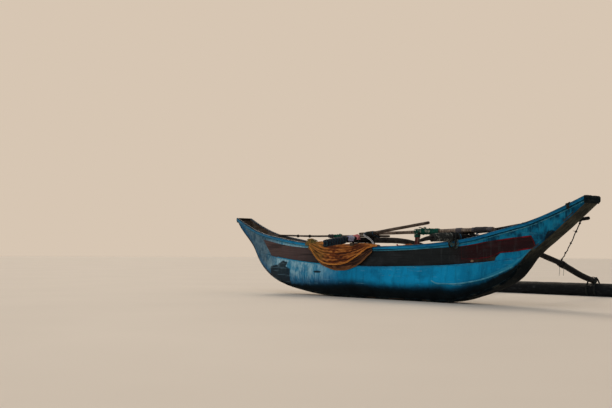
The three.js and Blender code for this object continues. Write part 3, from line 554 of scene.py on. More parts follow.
def hull_paint(name="paint_hull"):
    """Old blue paint over boards, tarred below, with the dark side panel and its red border; the dark band below and
    the darkening above it are partly painted shade of the underside.
    """
    m = Mat(name)
    o = m.obj
    x, y, z = m.xyz()[:]
    big = m.noise(o, 0.9, 3, 0.55)
    med = m.noise(o, 5.5, 6, 0.62)
    fine = m.noise(o, 48.0, 4, 0.6)
    grain = m.noise(m.stretch(o, (2.2, 22, 85)), 1.0, 5, 0.6)
    drip = m.noise(m.stretch(o, (13, 13, 1.4)), 1.0, 4, 0.6)
    brush = m.noise(m.stretch(o, (1.3, 12, 30)), 1.0, 3, 0.55)
    blot = m.noise(m.stretch(o, (2.0, 2.0, 3.0), (3.1, 0, 8.2)), 1.0, 5, 0.6)
    wear = m.noise(m.stretch(o, (5.0, 5.0, 4.2), (1.3, 2.0, 3.0)), 1.0, 7, 0.62)

    # saturated blue amidships
    mid = m.mix(m.step(big, 0.36, 0.64), lin(2, 126, 172), lin(5, 150, 202))
    mid = m.mix(m.mul(m.step(blot, 0.48, 0.66), 0.50), mid, lin(0, 88, 126))
    mid = m.mix(m.mul(m.step(wear, 0.55, 0.72), 0.40), mid, lin(40, 166, 206))
    mid = m.mix(m.mul(m.step(drip, 0.50, 0.34), 0.35), mid, lin(0, 92, 126))
    # thin chalky paint left of the net, streaked down
    thin = m.noise(m.stretch(o, (38, 38, 4.5), (2, 5, 1)), 1.0, 4, 0.6)
    pale = m.mix(m.step(m.add(m.mul(wear, 0.6), m.mul(med, 0.4)), 0.42, 0.58), lin(52, 138, 174), lin(152, 196, 210))
    pale = m.mix(m.mul(m.step(drip, 0.50, 0.70), 0.28), pale, lin(160, 196, 206))
    pale = m.mix(m.mul(m.step(drip, 0.48, 0.33), 0.35), pale, lin(22, 100, 138))
    pale = m.mix(m.mul(m.step(thin, 0.52, 0.66), 0.50), pale, lin(170, 202, 210))
    pale = m.mix(m.mul(m.step(thin, 0.48, 0.36), 0.60), pale, lin(20, 92, 128))
    pale = m.mix(m.mul(m.step(blot, 0.50, 0.66), 0.50), pale, lin(14, 96, 138))
    # steel grey at the stern
    stern = m.mix(m.step(wear, 0.40, 0.62), lin(48, 82, 102), lin(94, 124, 140))
    stern = m.mix(m.mul(m.step(thin, 0.50, 0.66), 0.40), stern, lin(116, 138, 148))
    stern = m.mix(m.mul(m.step(blot, 0.47, 0.36), 0.5), stern, lin(26, 70, 98))
    # deeper and darker at the bow
    deep = m.mix(m.step(wear, 0.42, 0.60), lin(0, 54, 80), lin(8, 112, 146))
    deep = m.mix(m.mul(m.step(thin, 0.50, 0.66), 0.50), deep, lin(38, 132, 160))
    blue = m.mix(m.step(m.add(x, m.mul(m.math("SUBTRACT", wear, 0.5), 1.2)), -0.75, -1.80), mid, pale)
    blue = m.mix(m.step(m.add(x, m.mul(m.math("SUBTRACT", med, 0.5), 0.8)), -2.65, -3.35), blue, stern)
    blue = m.mix(m.mul(m.step(x, 1.5, 2.7), m.step(z, 0.80, 1.00, 0.45, 1.0)), blue, deep)
    # the chalky part keeps more of its blue near the tar
    dark_d = m.attr("d_dark")
    sat = m.mul(m.step(m.add(dark_d, m.mul(m.math("SUBTRACT", wear, 0.5), 0.16)), -0.25, -0.06), m.step(x, -0.5, -1.2))
    blue = m.mix(m.mul(sat, 0.78), blue, m.mix(m.step(thin, 0.42, 0.60), lin(2, 78, 122), lin(8, 108, 158)))
    # painted shade: the lower body darkens towards the tar, as the shaded underside
    low = m.math("MULTIPLY", m.step(m.add(dark_d, m.mul(m.math("SUBTRACT", wear, 0.5), 0.10)), -0.15, -0.01), m.step(x, -2.6, -1.2, 0.30, 1.0))
    low = m.mul(low, m.step(x, 2.0, 3.0, 1.0, 0.30))
    blue = m.mix(m.mul(low, 0.90), blue, lin(1, 38, 60))
    # light rim above the tar at the bow, along the rib's line: a painted highlight of the ridge
    rim = m.mul(m.step(m.math("ABSOLUTE", m.add(dark_d, m.step(x, 2.6, 3.3, 0.070, 0.035, False))), 0.030, 0.010), m.step(x, 2.3, 2.7))
    blue = m.mix(m.mul(rim, 0.6), blue, lin(46, 142, 172))
    # rubs and scratches in lighter blue
    rub = m.math("MULTIPLY", m.step(brush, 0.58, 0.68), m.step(med, 0.46, 0.66))
    blue = m.mix(m.mul(rub, 0.42), blue, lin(96, 162, 186))
    scar = m.step(m.noise(m.stretch(o, (2.4, 6, 150), (7, 0, 2)), 1.0, 2, 0.5), 0.72, 0.755)
    blue = m.mix(m.mul(scar, 0.4), blue, lin(150, 182, 192))
    bare = m.math("MULTIPLY", m.step(m.noise(m.stretch(o, (5, 9, 16), (0, 4, 1)), 1.0, 5, 0.65), 0.68, 0.71), m.step(med, 0.40, 0.6))
    blue = m.mix(m.mul(bare, 0.8), blue, m.mix(grain, lin(30, 40, 46), lin(92, 104, 108)))

    # side panel: grey brown at the stern, near black amidships, maroon at the bow
    p_brown = m.mix(grain, lin(52, 39, 39), lin(110, 90, 87))
    p_brown = m.mix(m.mul(m.step(wear, 0.52, 0.66), 0.5), p_brown, lin(100, 68, 62))
    p_black = m.mix(grain, lin(16, 19, 21), lin(43, 47, 48))
    p_maroon = m.mix(grain, lin(22, 12, 14), lin(51, 25, 28))
    hi = m.step(m.attr("d_maroon"), 0.02, 0.10)
    up = m.step(m.math("SUBTRACT", z, m.mul(x, 0.12)), 0.62, 0.76)
    p_maroon = m.mix(m.mul(m.mul(up, hi), 0.55), p_maroon, lin(78, 26, 30))
    panel = m.mix(m.step(m.add(x, m.mul(m.math("SUBTRACT", wear, 0.5), 1.0)), -2.6, -0.9), p_brown, p_black)
    panel = m.mix(m.step(x, 1.7, 2.3), panel, p_maroon)
    panel = m.mix(m.mul(m.step(blot, 0.50, 0.66), 0.35), panel, m.mix(x_step(m, x), lin(84, 70, 62), lin(58, 60, 62)))
    panel = m.mix(m.mul(m.step(fine, 0.60, 0.72), 0.22), panel, lin(96, 100, 100))
    panel = m.mix(m.mul(m.step(drip, 0.54, 0.72), 0.35), panel, lin(66, 70, 70))
    panel = m.mix(m.mul(m.step(brush, 0.45, 0.34), 0.5), panel, lin(8, 9, 10))
    under = m.mul(m.mul(m.step(m.attr("d_maroon"), -0.008, -0.022), m.step(z, 0.84, 0.78)), m.step(x, 2.10, 2.40))
    panel = m.mix(m.mul(under, m.step(med, 0.40, 0.60, 0.15, 0.75)), panel, m.mix(grain, lin(34, 30, 24), lin(84, 68, 48)))
    d_red = m.mul(m.math("ABSOLUTE", m.add(m.attr("d_maroon"), m.mul(m.math("SUBTRACT", med, 0.5), 0.020))), m.step(x, 2.6, 3.1, 1.0, 0.62))
    red = m.mul(m.step(d_red, 0.0085, 0.0040), m.step(m.add(wear, m.mul(fine, 0.5)), 0.66, 0.86, 0.10, 0.92))
    panel = m.mix(red, panel, m.mix(m.step(x, 2.5, 3.1), lin(100, 14, 24), lin(124, 16, 26)))
    scuff = m.step(m.add(m.attr("d_scuff"), m.mul(m.math("SUBTRACT", m.noise(o, 26.0, 4, 0.65), 0.5), 0.075)), -0.004, 0.008)
    panel = m.mix(m.mul(scuff, m.step(grain, 0.34, 0.60, 0.35, 0.95)), panel, lin(146, 118, 92))
    wav = m.mul(m.math("SUBTRACT", med, 0.5), 0.012)
    p_mask = m.step(m.add(m.attr("d_panel"), wav), -0.003, 0.003)
    col = m.mix(p_mask, blue, panel)

    # tar and dirt below, partly painted shade of the underside amidships; patches of it above
    tar_and_shade = m.mix(m.step(med, 0.35, 0.7), lin(4, 11, 15), lin(15, 24, 28))
    tar_and_shade = m.mix(m.mul(m.step(x, 2.4, 3.3), 0.75), tar_and_shade, m.mix(med, lin(8, 15, 18), lin(24, 30, 31)))
    tar_and_shade = m.mix(m.mul(m.mul(m.step(dark_d, 0.085, 0.0), m.step(x, 2.9, 2.2)), 0.85), tar_and_shade, m.mix(med, lin(2, 20, 30), lin(4, 34, 46)))
    edge_n = m.mul(m.math("SUBTRACT", m.noise(o, 9.0, 6, 0.65), 0.5), 0.085)
    tar_and_shade_mask = m.step(m.add(dark_d, edge_n), m.step(x, 2.6, 3.3, -0.045, -0.012, False), 0.022)
    tar_and_shade_mask = m.mul(tar_and_shade_mask, m.step(x, 3.40, 3.52, 1.0, 0.0))
    patch = m.step(m.add(m.attr("d_patch"), m.mul(edge_n, 1.1)), -0.004, 0.022)
    spot = m.mul(m.step(m.add(m.attr("d_spot"), m.mul(edge_n, 0.25)), -0.003, 0.008), 0.93)
    patch_col = m.mix(m.step(grain, 0.3, 0.7), lin(12, 27, 36), lin(26, 42, 52))
    patch_col = m.mix(m.mul(m.step(wear, 0.56, 0.68), 0.75), patch_col, lin(76, 98, 110))
    patch_col = m.mix(m.mul(m.step(brush, 0.56, 0.64), 0.55), patch_col, lin(84, 112, 126))
    col = m.mix(m.mul(patch, 0.96), col, patch_col)
    col = m.mix(spot, col, m.mix(grain, lin(6, 20, 28), lin(22, 36, 42)))
    col = m.mix(tar_and_shade_mask, col, tar_and_shade)

    # paint rubbed thin on the edges
    edge = m.mul(m.attr("edge"), m.step(m.add(med, m.mul(fine, 0.35)), 0.58, 0.78))
    col = m.mix(m.mul(edge, 0.40), col, lin(70, 112, 128))
    # grime
    col = m.mix(m.step(fine, 0.52, 0.75, 0.0, 0.20), col, lin(16, 30, 36))
    rough = m.lerp(m.mul(p_mask, 0.9), m.lerp(med, 0.42, 0.70), m.lerp(fine, 0.55, 0.8))
    rough = m.lerp(tar_and_shade_mask, rough, 0.80)
    h = m.add(m.mul(grain, 0.55), m.add(m.mul(med, 0.5), m.mul(fine, 0.35)))
    h = m.add(h, m.mul(m.add(bare, edge), -0.6))
    return m.finish(col, rough, m.bump(h, 0.45, 0.0035), 0.07)


def x_step(m, x):
    return m.step(x, -3.0, -0.8)


def inside_paint(name, tint=(60, 74, 80)):
    """Inside of the hull: dry boards with the rests of old paint."""
    m = Mat(name)
    o = m.obj
    z = m.xyz()[2]
    med = m.noise(o, 4.5, 6, 0.6)
    grain = m.noise(m.stretch(o, (2.0, 24, 70)), 1.0, 5, 0.62)
    fine = m.noise(o, 60.0, 3, 0.6)
    wood = m.ramp(grain, [(0.25, lin(44, 34, 27)), (0.5, lin(84, 66, 51)), (0.75, lin(128, 106, 84))])
    wood = m.mix(m.mul(m.step(med, 0.45, 0.7), 0.5), wood, lin(96, 92, 84))
    paint = m.mix(med, lin(*tint), lin(tint[0] + 34, tint[1] + 44, tint[2] + 46))
    left = m.step(m.add(med, m.mul(m.math("SUBTRACT", grain, 0.5), 0.6)), 0.47, 0.54)
    col = m.mix(m.mul(left, 0.8), wood, paint)
    col = m.mix(m.step(z, 0.42, 0.08, 0.0, 0.75), col, lin(34, 30, 26))
    col = m.mix(m.step(fine, 0.5, 0.75, 0.0, 0.3), col, lin(30, 27, 24))
    return m.finish(col, m.lerp(med, 0.62, 0.9), m.bump(m.add(grain, m.mul(fine, 0.4)), 0.5, 0.003))


def rail_paint(name, worn=0.5, deep=(3, 98, 146), pale=(8, 134, 184), rub=(38, 150, 194), bow=(2, 72, 104)):
    """Brighter blue gloss, rubbed lighter, near black along its top and bottom edges where lip is set: painted shade on
    the unlit top face and in the groove under the rail.
    """
    m = Mat(name)
    o = m.obj
    x = m.xyz()[0]
    big = m.noise(o, 1.1, 3)
    med = m.noise(m.stretch(o, (7, 30, 30)), 1.0, 6, 0.65)
    grain = m.noise(m.stretch(o, (3.5, 60, 110)), 1.0, 4, 0.6)
    fine = m.noise(o, 75.0, 3, 0.6)
    c = m.mix(m.step(big, 0.35, 0.65), lin(*deep), lin(*pale))
    c = m.mix(m.mul(m.step(x, 2.0, 3.8), 0.75), c, lin(*bow))
    c = m.mix(m.mul(m.step(x, -2.2, -3.9), 0.65), c, lin(74, 116, 142))
    c = m.mix(m.mul(m.step(med, 0.52, 0.75), 0.5), c, lin(*rub))
    c = m.mix(m.mul(m.step(med, 0.46, 0.28), 0.6), c, lin(4, 48, 74))
    e = m.mul(m.attr("edge"), m.step(m.add(med, m.mul(fine, 0.3)), 0.72 - 0.22 * worn, 0.84 - 0.22 * worn))
    chip = m.math("MAXIMUM", e, m.step(m.add(med, m.mul(fine, 0.25)), 0.82, 0.85))
    c = m.mix(m.mul(chip, 0.45), c, lin(*rub))
    # painted shade: near black on the top face and along the lowest edge of the face, where lip is set
    c = m.mix(m.mul(m.attr("lip"), m.step(med, 0.30, 0.52, 0.60, 0.95)), c, lin(8, 14, 18))
    c = m.mix(m.step(fine, 0.5, 0.8, 0.0, 0.30), c, lin(10, 26, 34))
    h = m.add(m.mul(grain, 0.7), m.add(m.mul(med, 0.4), m.mul(chip, -0.8)))
    return m.finish(c, m.lerp(med, 0.36, 0.62), m.bump(h, 0.45, 0.003), 0.09)


def tar_wood(name="tar_planks"):
    """Stem and bottom planks: tarred, olive and worn to brown wood in streaks high on the bow stem."""
    m = Mat(name)
    o = m.obj
    x, y, z = m.xyz()[:]
    med = m.noise(o, 7.0, 6, 0.65)
    grain = m.noise(m.stretch(o, (3, 40, 30)), 1.0, 5, 0.6)
    fine = m.noise(o, 70.0, 3)
    streak = m.noise(m.stretch(o, (5, 34, 5)), 1.0, 5, 0.6)
    c = m.mix(m.step(med, 0.35, 0.65), lin(3, 11, 15), lin(10, 20, 24))
    olive = m.mix(m.step(med, 0.3, 0.7), lin(28, 30, 27), lin(66, 67, 58))
    olive = m.mix(m.mul(m.step(streak, 0.52, 0.64), 0.6), olive, lin(84, 84, 73))
    olive = m.mix(m.mul(m.step(streak, 0.48, 0.36), 0.7), olive, lin(20, 22, 20))
    c = m.mix(m.mul(m.step(z, 0.66, 1.12, 0.0, 0.95), m.step(x, 2.4, 2.9)), c, olive)
    worn = m.mul(m.step(m.add(m.noise(o, 11.0, 5, 0.6), m.mul(m.attr("edge"), 0.10)), 0.62, 0.70), m.step(z, 0.98, 1.42))
    worn = m.mul(m.mul(worn, m.step(x, 2.5, 3.2)), m.step(y, 0.02, -0.10))
    c = m.mix(worn, c, m.mix(grain, lin(56, 40, 28), lin(106, 76, 50)))
    rubbed = m.mul(m.attr("edge"), m.step(m.add(med, m.mul(fine, 0.3)), 0.64, 0.80))
    c = m.mix(m.mul(rubbed, 0.45), c, m.mix(grain, lin(52, 50, 42), lin(92, 88, 72)))
    c = m.mix(m.step(x, -2.6, -3.4), c, m.mix(m.step(med, 0.38, 0.62), lin(38, 60, 74), lin(76, 102, 116)))
    # the side paint runs on over the board's own edge up the bow
    side = m.mul(m.attr("lip"), m.step(m.add(x, m.mul(m.math("SUBTRACT", med, 0.5), 0.05)), 3.40, 3.47))
    wear = m.noise(m.stretch(o, (5.0, 5.0, 4.2), (1.3, 2.0, 3.0)), 1.0, 7, 0.62)
    paint = m.mix(m.step(wear, 0.40, 0.62), lin(2, 58, 84), lin(8, 98, 132))
    spot = m.mul(m.step(m.attr("d_spot"), -0.004, 0.010), 0.93)
    paint = m.mix(spot, paint, m.mix(grain, lin(6, 16, 26), lin(20, 32, 42)))
    c = m.mix(m.mul(side, m.step(fine, 0.72, 0.60, 0.6, 1.0)), c, paint)
    # dry bare boards on the inside
    bare = m.mix(m.mul(m.step(med, 0.45, 0.62), 0.5), m.mix(grain, lin(34, 28, 24), lin(88, 72, 57)), lin(30, 28, 25))
    c = m.mix(m.attr("inner"), c, bare)
    return m.finish(c, m.lerp(med, 0.65, 0.9), m.bump(m.add(grain, m.add(m.mul(med, 0.8), m.mul(fine, 0.4))), 0.55, 0.004), 0.035)


def cap_paint(name, blue):
    """End block: dark worn wood, or thin blue paint, with its end grain showing."""
    m = Mat(name)
    o = m.obj
    med = m.noise(o, 14.0, 6, 0.65)
    fine = m.noise(o, 90.0, 3)
    rings = m.attr("ring")
    r = m.node("ShaderNodeTexWave", {"Vector": m.node("ShaderNodeCombineXYZ", [m.add(rings, m.mul(med, 0.012)), 0.0, 0.0]), "Scale": 26.0, "Distortion": 0.0},
               out=1, wave_type="BANDS", bands_direction="X")
    end = m.attr("end")
    grain = m.noise(m.stretch(o, (40, 3, 40)), 1.0, 5, 0.6)
    dark = m.mix(grain, lin(3, 11, 15), lin(14, 28, 34))
    dark = m.mix(m.mul(m.step(med, 0.5, 0.7), 0.3), dark, lin(28, 40, 42))
    endc = m.mix(r, lin(4, 13, 17), lin(24, 40, 45))
    c = m.mix(m.mul(end, 0.75), dark, endc)
    if blue:
        paint = m.mix(m.step(med, 0.35, 0.65), lin(30, 76, 96), lin(70, 118, 136))
        paint = m.mix(m.mul(m.step(m.noise(m.stretch(o, (12, 12, 2)), 1.0, 3), 0.45, 0.7), 0.5), paint, lin(96, 112, 116))
        off = m.math("MAXIMUM", m.mul(m.attr("edge"), m.step(m.add(med, m.mul(fine, 0.3)), 0.56, 0.70)), m.step(m.add(med, m.mul(fine, 0.2)), 0.70, 0.74))
        paint = m.mix(m.mul(off, 0.7), paint, m.mix(grain, lin(40, 52, 58), lin(112, 124, 126)))
        # paint on its two ends only, dark bare wood between
        at_end = m.step(m.math("ABSOLUTE", m.xyz()[1]), 0.190, 0.202)
        bare = m.mix(grain, lin(20, 17, 15), lin(54, 44, 36))
        c = m.mix(at_end, m.mix(m.mul(off, 0.5), bare, lin(78, 68, 58)), paint)
    else:
        off = m.mul(m.attr("edge"), m.step(m.add(med, m.mul(fine, 0.3)), 0.56, 0.74))
        c = m.mix(m.mul(off, 0.35), c, lin(60, 64, 60))
    h = m.add(m.mul(grain, 0.8), m.add(m.mul(med, 0.7), m.mul(m.mul(r, end), 0.5)))
    return m.finish(c, m.lerp(med, 0.60, 0.92), m.bump(h, 0.55, 0.004), 0.03)


def log_wood(name, dark, mid, pale, ringed=0.0, crack=0.5, bark=0.0, wet=0.0, outer=0.0):
    """Round timber. lp carries the place along the log and on its unrolled skin."""
    m = Mat(name)
    lp = m.attr("lp", True)
    o = m.obj
    along = m.xyz(lp)[0]
    grain = m.noise(m.stretch(lp, (4.0, 130, 130)), 1.0, 6, 0.65)
    broad = m.noise(m.stretch(lp, (1.2, 12, 12)), 1.0, 4, 0.6)
    fine = m.noise(o, 120.0, 3, 0.6)
    blot = m.noise(m.stretch(lp, (9, 24, 24), (5, 0, 0)), 1.0, 5, 0.62)
    c = m.ramp(m.add(m.mul(grain, 0.6), m.mul(broad, 0.4)), [(0.34, lin(*dark)), (0.52, lin(*mid)), (0.68, lin(*pale))])
    c = m.mix(m.mul(m.step(blot, 0.53, 0.66), 0.6), c, lin(*[min(255, v + 16) for v in pale]))
    c = m.mix(m.mul(m.step(blot, 0.46, 0.34), 0.6), c, lin(*[int(v * 0.6) for v in dark]))
    if outer:
        # darkened by spray out towards the float
        c = m.mix(m.mul(m.step(m.xyz()[1], 0.7, 2.2), outer), c, m.mix(grain, lin(4, 6, 9), lin(22, 24, 26)))
    h = m.add(m.mul(grain, 1.0), m.mul(blot, 0.5))
    if ringed:
        ring_p = m.add(along, m.mul(m.math("SUBTRACT", broad, 0.5), 0.05))
        rn = m.noise(m.node("ShaderNodeCombineXYZ", [ring_p, 0.0, 0.0]), 34.0, 2, 0.5)
        ring = m.step(rn, 0.47, 0.58)
        c = m.mix(m.mul(ring, ringed), c, lin(*[int(v * 0.5) for v in dark]))
        h = m.add(h, m.mul(ring, -0.35))
    if crack:
        cr = m.node("ShaderNodeTexVoronoi", {"Vector": m.stretch(m.add_vec(lp, broad), (2.2, 40, 40)), "Scale": 1.0, "Randomness": 1.0},
                    feature="DISTANCE_TO_EDGE")
        cm = m.mul(m.step(cr, 0.055, 0.012), m.step(broad, 0.42, 0.58))
        c = m.mix(m.mul(cm, crack), c, lin(9, 8, 8))
        h = m.add(h, m.mul(cm, -1.6 * crack))
    if bark:
        pl = m.node("ShaderNodeTexVoronoi", {"Vector": m.stretch(lp, (14, 60, 60)), "Scale": 1.0}, feature="DISTANCE_TO_EDGE")
        h = m.add(h, m.mul(m.step(pl, 0.0, 0.12), bark))
        c = m.mix(m.mul(m.step(pl, 0.09, 0.01), 0.6 * bark), c, lin(8, 8, 8))
    worn = m.mul(m.attr("edge"), m.step(m.add(blot, m.mul(fine, 0.3)), 0.5, 0.72))
    c = m.mix(m.mul(worn, 0.6), c, lin(*[min(255, v + 40) for v in pale]))
    c = m.mix(m.step(fine, 0.52, 0.8, 0.0, 0.35), c, lin(*[int(v * 0.7) for v in dark]))
    lo = 0.50 if wet else 0.64
    return m.finish(c, m.lerp(blot, lo, lo + 0.28), m.bump(h, 0.6, 0.004), 0.14)


def board_wood(name, along="Y", dark=(48, 38, 30), mid=(92, 74, 58), pale=(140, 118, 94), red=None):
    """Sawn bare wood, grain along one axis; red is the tone of paint left on it."""
    m = Mat(name)
    o = m.obj
    s = {"X": (2.5, 60, 60), "Y": (60, 2.5, 60), "Z": (60, 60, 2.5)}[along]
    grain = m.noise(m.stretch(o, s), 1.0, 6, 0.6)
    med = m.noise(o, 9.0, 5, 0.6)
    fine = m.noise(o, 110.0, 3)
    c = m.ramp(grain, [(0.3, lin(*dark)), (0.5, lin(*mid)), (0.72, lin(*pale))])
    c = m.mix(m.mul(m.step(med, 0.5, 0.7), 0.45), c, lin(104, 98, 88))
    if red:
        left = m.step(m.add(med, m.mul(m.math("SUBTRACT", grain, 0.5), 0.5)), 0.40, 0.47)
        left = m.mul(left, m.step(m.attr("edge"), 0.9, 0.2, 0.25, 1.0))
        c = m.mix(left, c, m.mix(med, lin(*red), lin(min(255, red[0] + 44), red[1] + 12, red[2] + 12)))
    c = m.mix(m.mul(m.attr("edge"), m.step(med, 0.4, 0.62, 0.0, 0.5)), c, lin(*[min(255, v + 22) for v in pale]))
    c = m.mix(m.step(fine, 0.5, 0.8, 0.0, 0.3), c, lin(*dark))
    return m.finish(c, m.lerp(med, 0.6, 0.88), m.bump(m.add(grain, m.mul(fine, 0.4)), 0.5, 0.003))


def rope_fibre(name, dark, mid, pale, scale=1.0):
    """Laid rope: fine slanting fibres; lp is (along, round, round)."""
    m = Mat(name)
    o = m.obj
    f1 = m.noise(m.stretch(o, (160 * scale, 160 * scale, 160 * scale)), 1.0, 4, 0.7)
    f2 = m.noise(o, 18.0, 4, 0.6)
    groove = m.attr("groove")
    c = m.ramp(f1, [(0.3, lin(*dark)), (0.5, lin(*mid)), (0.72, lin(*pale))])
    c = m.mix(m.mul(m.step(f2, 0.48, 0.68), 0.5), c, lin(*[int(v * 0.7) for v in mid]))
    # painted shade in the grooves between the strands
    c = m.mix(m.mul(groove, 0.75), c, lin(*[int(v * 0.35) for v in dark]))
    return m.finish(c, m.lerp(f2, 0.7, 0.95), m.bump(f1, 0.6, 0.0012), 0.10, Sheen_Weight=0.05)


def weave_cloth(name, dark, mid, pale, pitch=0.004, hem=None, sheen=0.08, nested=None, west=None, bands=None):
    """Woven cloth: crossed threads from the sheet's own (u, v) in metres, lighter on the fold ridges and darker in the
    valleys: painted highlight and painted shade.
    """
    m = Mat(name)
    o = m.obj
    uv = m.attr("cloth", True)
    k = 0.5 / pitch
    w1 = m.node("ShaderNodeTexWave", {"Vector": m.stretch(uv, (k, 0, 0)), "Scale": 1.0, "Distortion": 0.4, "Detail": 1.0}, out=1,
                wave_type="BANDS", bands_direction="X", wave_profile="SIN")
    w2 = m.node("ShaderNodeTexWave", {"Vector": m.stretch(uv, (0, k, 0)), "Scale": 1.0, "Distortion": 0.4, "Detail": 1.0}, out=1,
                wave_type="BANDS", bands_direction="Y", wave_profile="SIN")
    threads = m.math("MAXIMUM", w1, w2)
    med = m.noise(o, 9.0, 5, 0.62)
    big = m.noise(o, 2.4, 3)
    fine = m.noise(o, 150.0, 3, 0.65)
    fold = m.attr("fold")
    c = m.ramp(m.add(m.mul(med, 0.5), m.mul(big, 0.5)), [(0.36, lin(*dark)), (0.5, lin(*mid)), (0.64, lin(*pale))])
    x = m.xyz()[0]
    if west:
        # lighter and more olive towards its aft end: partly the net's own colour, partly a painted highlight where it
        # catches the light
        c = m.mix(m.mul(m.step(m.add(x, m.mul(m.math("SUBTRACT", med, 0.5), 0.5)), -1.15, -1.50), 0.85), c, lin(*west))
    if nested:
        # gathered mesh: darker and lighter runs along the bows of the folds, partly the net's own streaks, partly
        # painted shade in the fold valleys and painted highlight on the ridges
        nest = m.attr("nest", True)
        run = m.noise(m.stretch(nest, (0.6, 24, 1)), 1.0, 4, 0.6, 0.15)
        thin = m.noise(m.stretch(nest, (1.1, 58, 1), (4, 2, 0)), 1.0, 3, 0.6, 0.12)
        v = m.add(m.add(m.mul(run, 0.26), m.mul(thin, 0.30)), m.mul(fold, 0.44))
        c = m.mix(m.mul(m.step(v, 0.49, 0.37), 0.84), c, lin(*nested[0]))
        c = m.mix(m.mul(m.step(v, 0.52, 0.64), 0.90), c, lin(*nested[1]))
    else:
        # painted highlight: lighter by the fold value, on the fold ridges
        c = m.mix(m.mul(fold, 0.55), c, lin(*pale))
    if bands:
        w = m.node("ShaderNodeTexWave", {"Vector": m.stretch(m.add_vec(uv, m.mul(med, 0.012)), (0.5 / bands[1], 0, 0)), "Scale": 1.0, "Distortion": 0.0}, out=1,
                   wave_type="BANDS", bands_direction="X", wave_profile="SIN")
        c = m.mix(m.mul(m.step(w, 0.70, 0.82), m.step(fine, 0.30, 0.55, 0.5, 0.95)), c, lin(*bands[0]))
    c = m.mix(m.mul(m.math("SUBTRACT", 1.0, threads), 0.45), c, lin(*[int(v * 0.45) for v in dark]))
    c = m.mix(m.step(fine, 0.45, 0.75, 0.0, 0.4), c, lin(*[int(v * 0.8) for v in mid]))
    if hem:
        # a doubled, wavy border line, its bright gold partly a painted highlight where the hem catches the light
        e = m.add(m.attr("edge_dist"), m.mul(m.math("SUBTRACT", m.noise(m.node("ShaderNodeCombineXYZ", [x, 0.0, 0.0]), 11.0, 3, 0.5), 0.5), 0.020))
        one = m.step(m.math("ABSOLUTE", m.math("SUBTRACT", e, 0.007)), 0.0075, 0.0045)
        two = m.step(m.math("ABSOLUTE", m.math("SUBTRACT", e, 0.027)), 0.0065, 0.0035)
        c = m.mix(m.mul(m.math("MAXIMUM", one, m.mul(two, 0.85)), m.step(fine, 0.30, 0.62, 0.60, 1.0)), c, lin(*hem))
    h = m.add(m.mul(threads, 0.8), m.mul(fine, 0.5))
    mat = m.finish(c, m.lerp(med, 0.78, 0.96), m.bump(h, 0.7, 0.0018), 0.08, Sheen_Weight=sheen)
    return mat

# ======================================================================
# hull boards
# ======================================================================
SIDES = (("near", -1), ("far", 1))
ROOT = "root"
wob_a = Wob(3, 0.0022, 0.35, 1.6, 16)
wob_b = Wob(4, 0.0009, 0.05, 0.30, 22)
wob_w = Wob(5, 0.0016, 0.30, 1.4, 14)
wob_r = Wob(6, 0.0012, 0.20, 1.2, 12)
wob_p = Wob(7, 0.0020, 0.15, 0.9, 14)


def spread(a, b, step):
    return np.linspace(a, b, max(2, int(round((b - a) / step)) + 1))


def outside_attrs(v, side, edge, boards=True):
    p = paint_lines(v, side)
    if not boards:
        p["d_panel"] = np.full(len(v), -1.0)
    p["edge"] = edge
    d = np.hypot(v[:, 0] - 2.225, (v[:, 2] - 0.738) * 1.5)
    p["d_scuff"] = 0.034 - d if side < 0 else np.full(len(v), -1.0)
    return p


M_HULL = hull_paint()
M_INSIDE = inside_paint("inside_boards")
M_INSIDE_W = inside_paint("inside_strakes", (92, 74, 62))


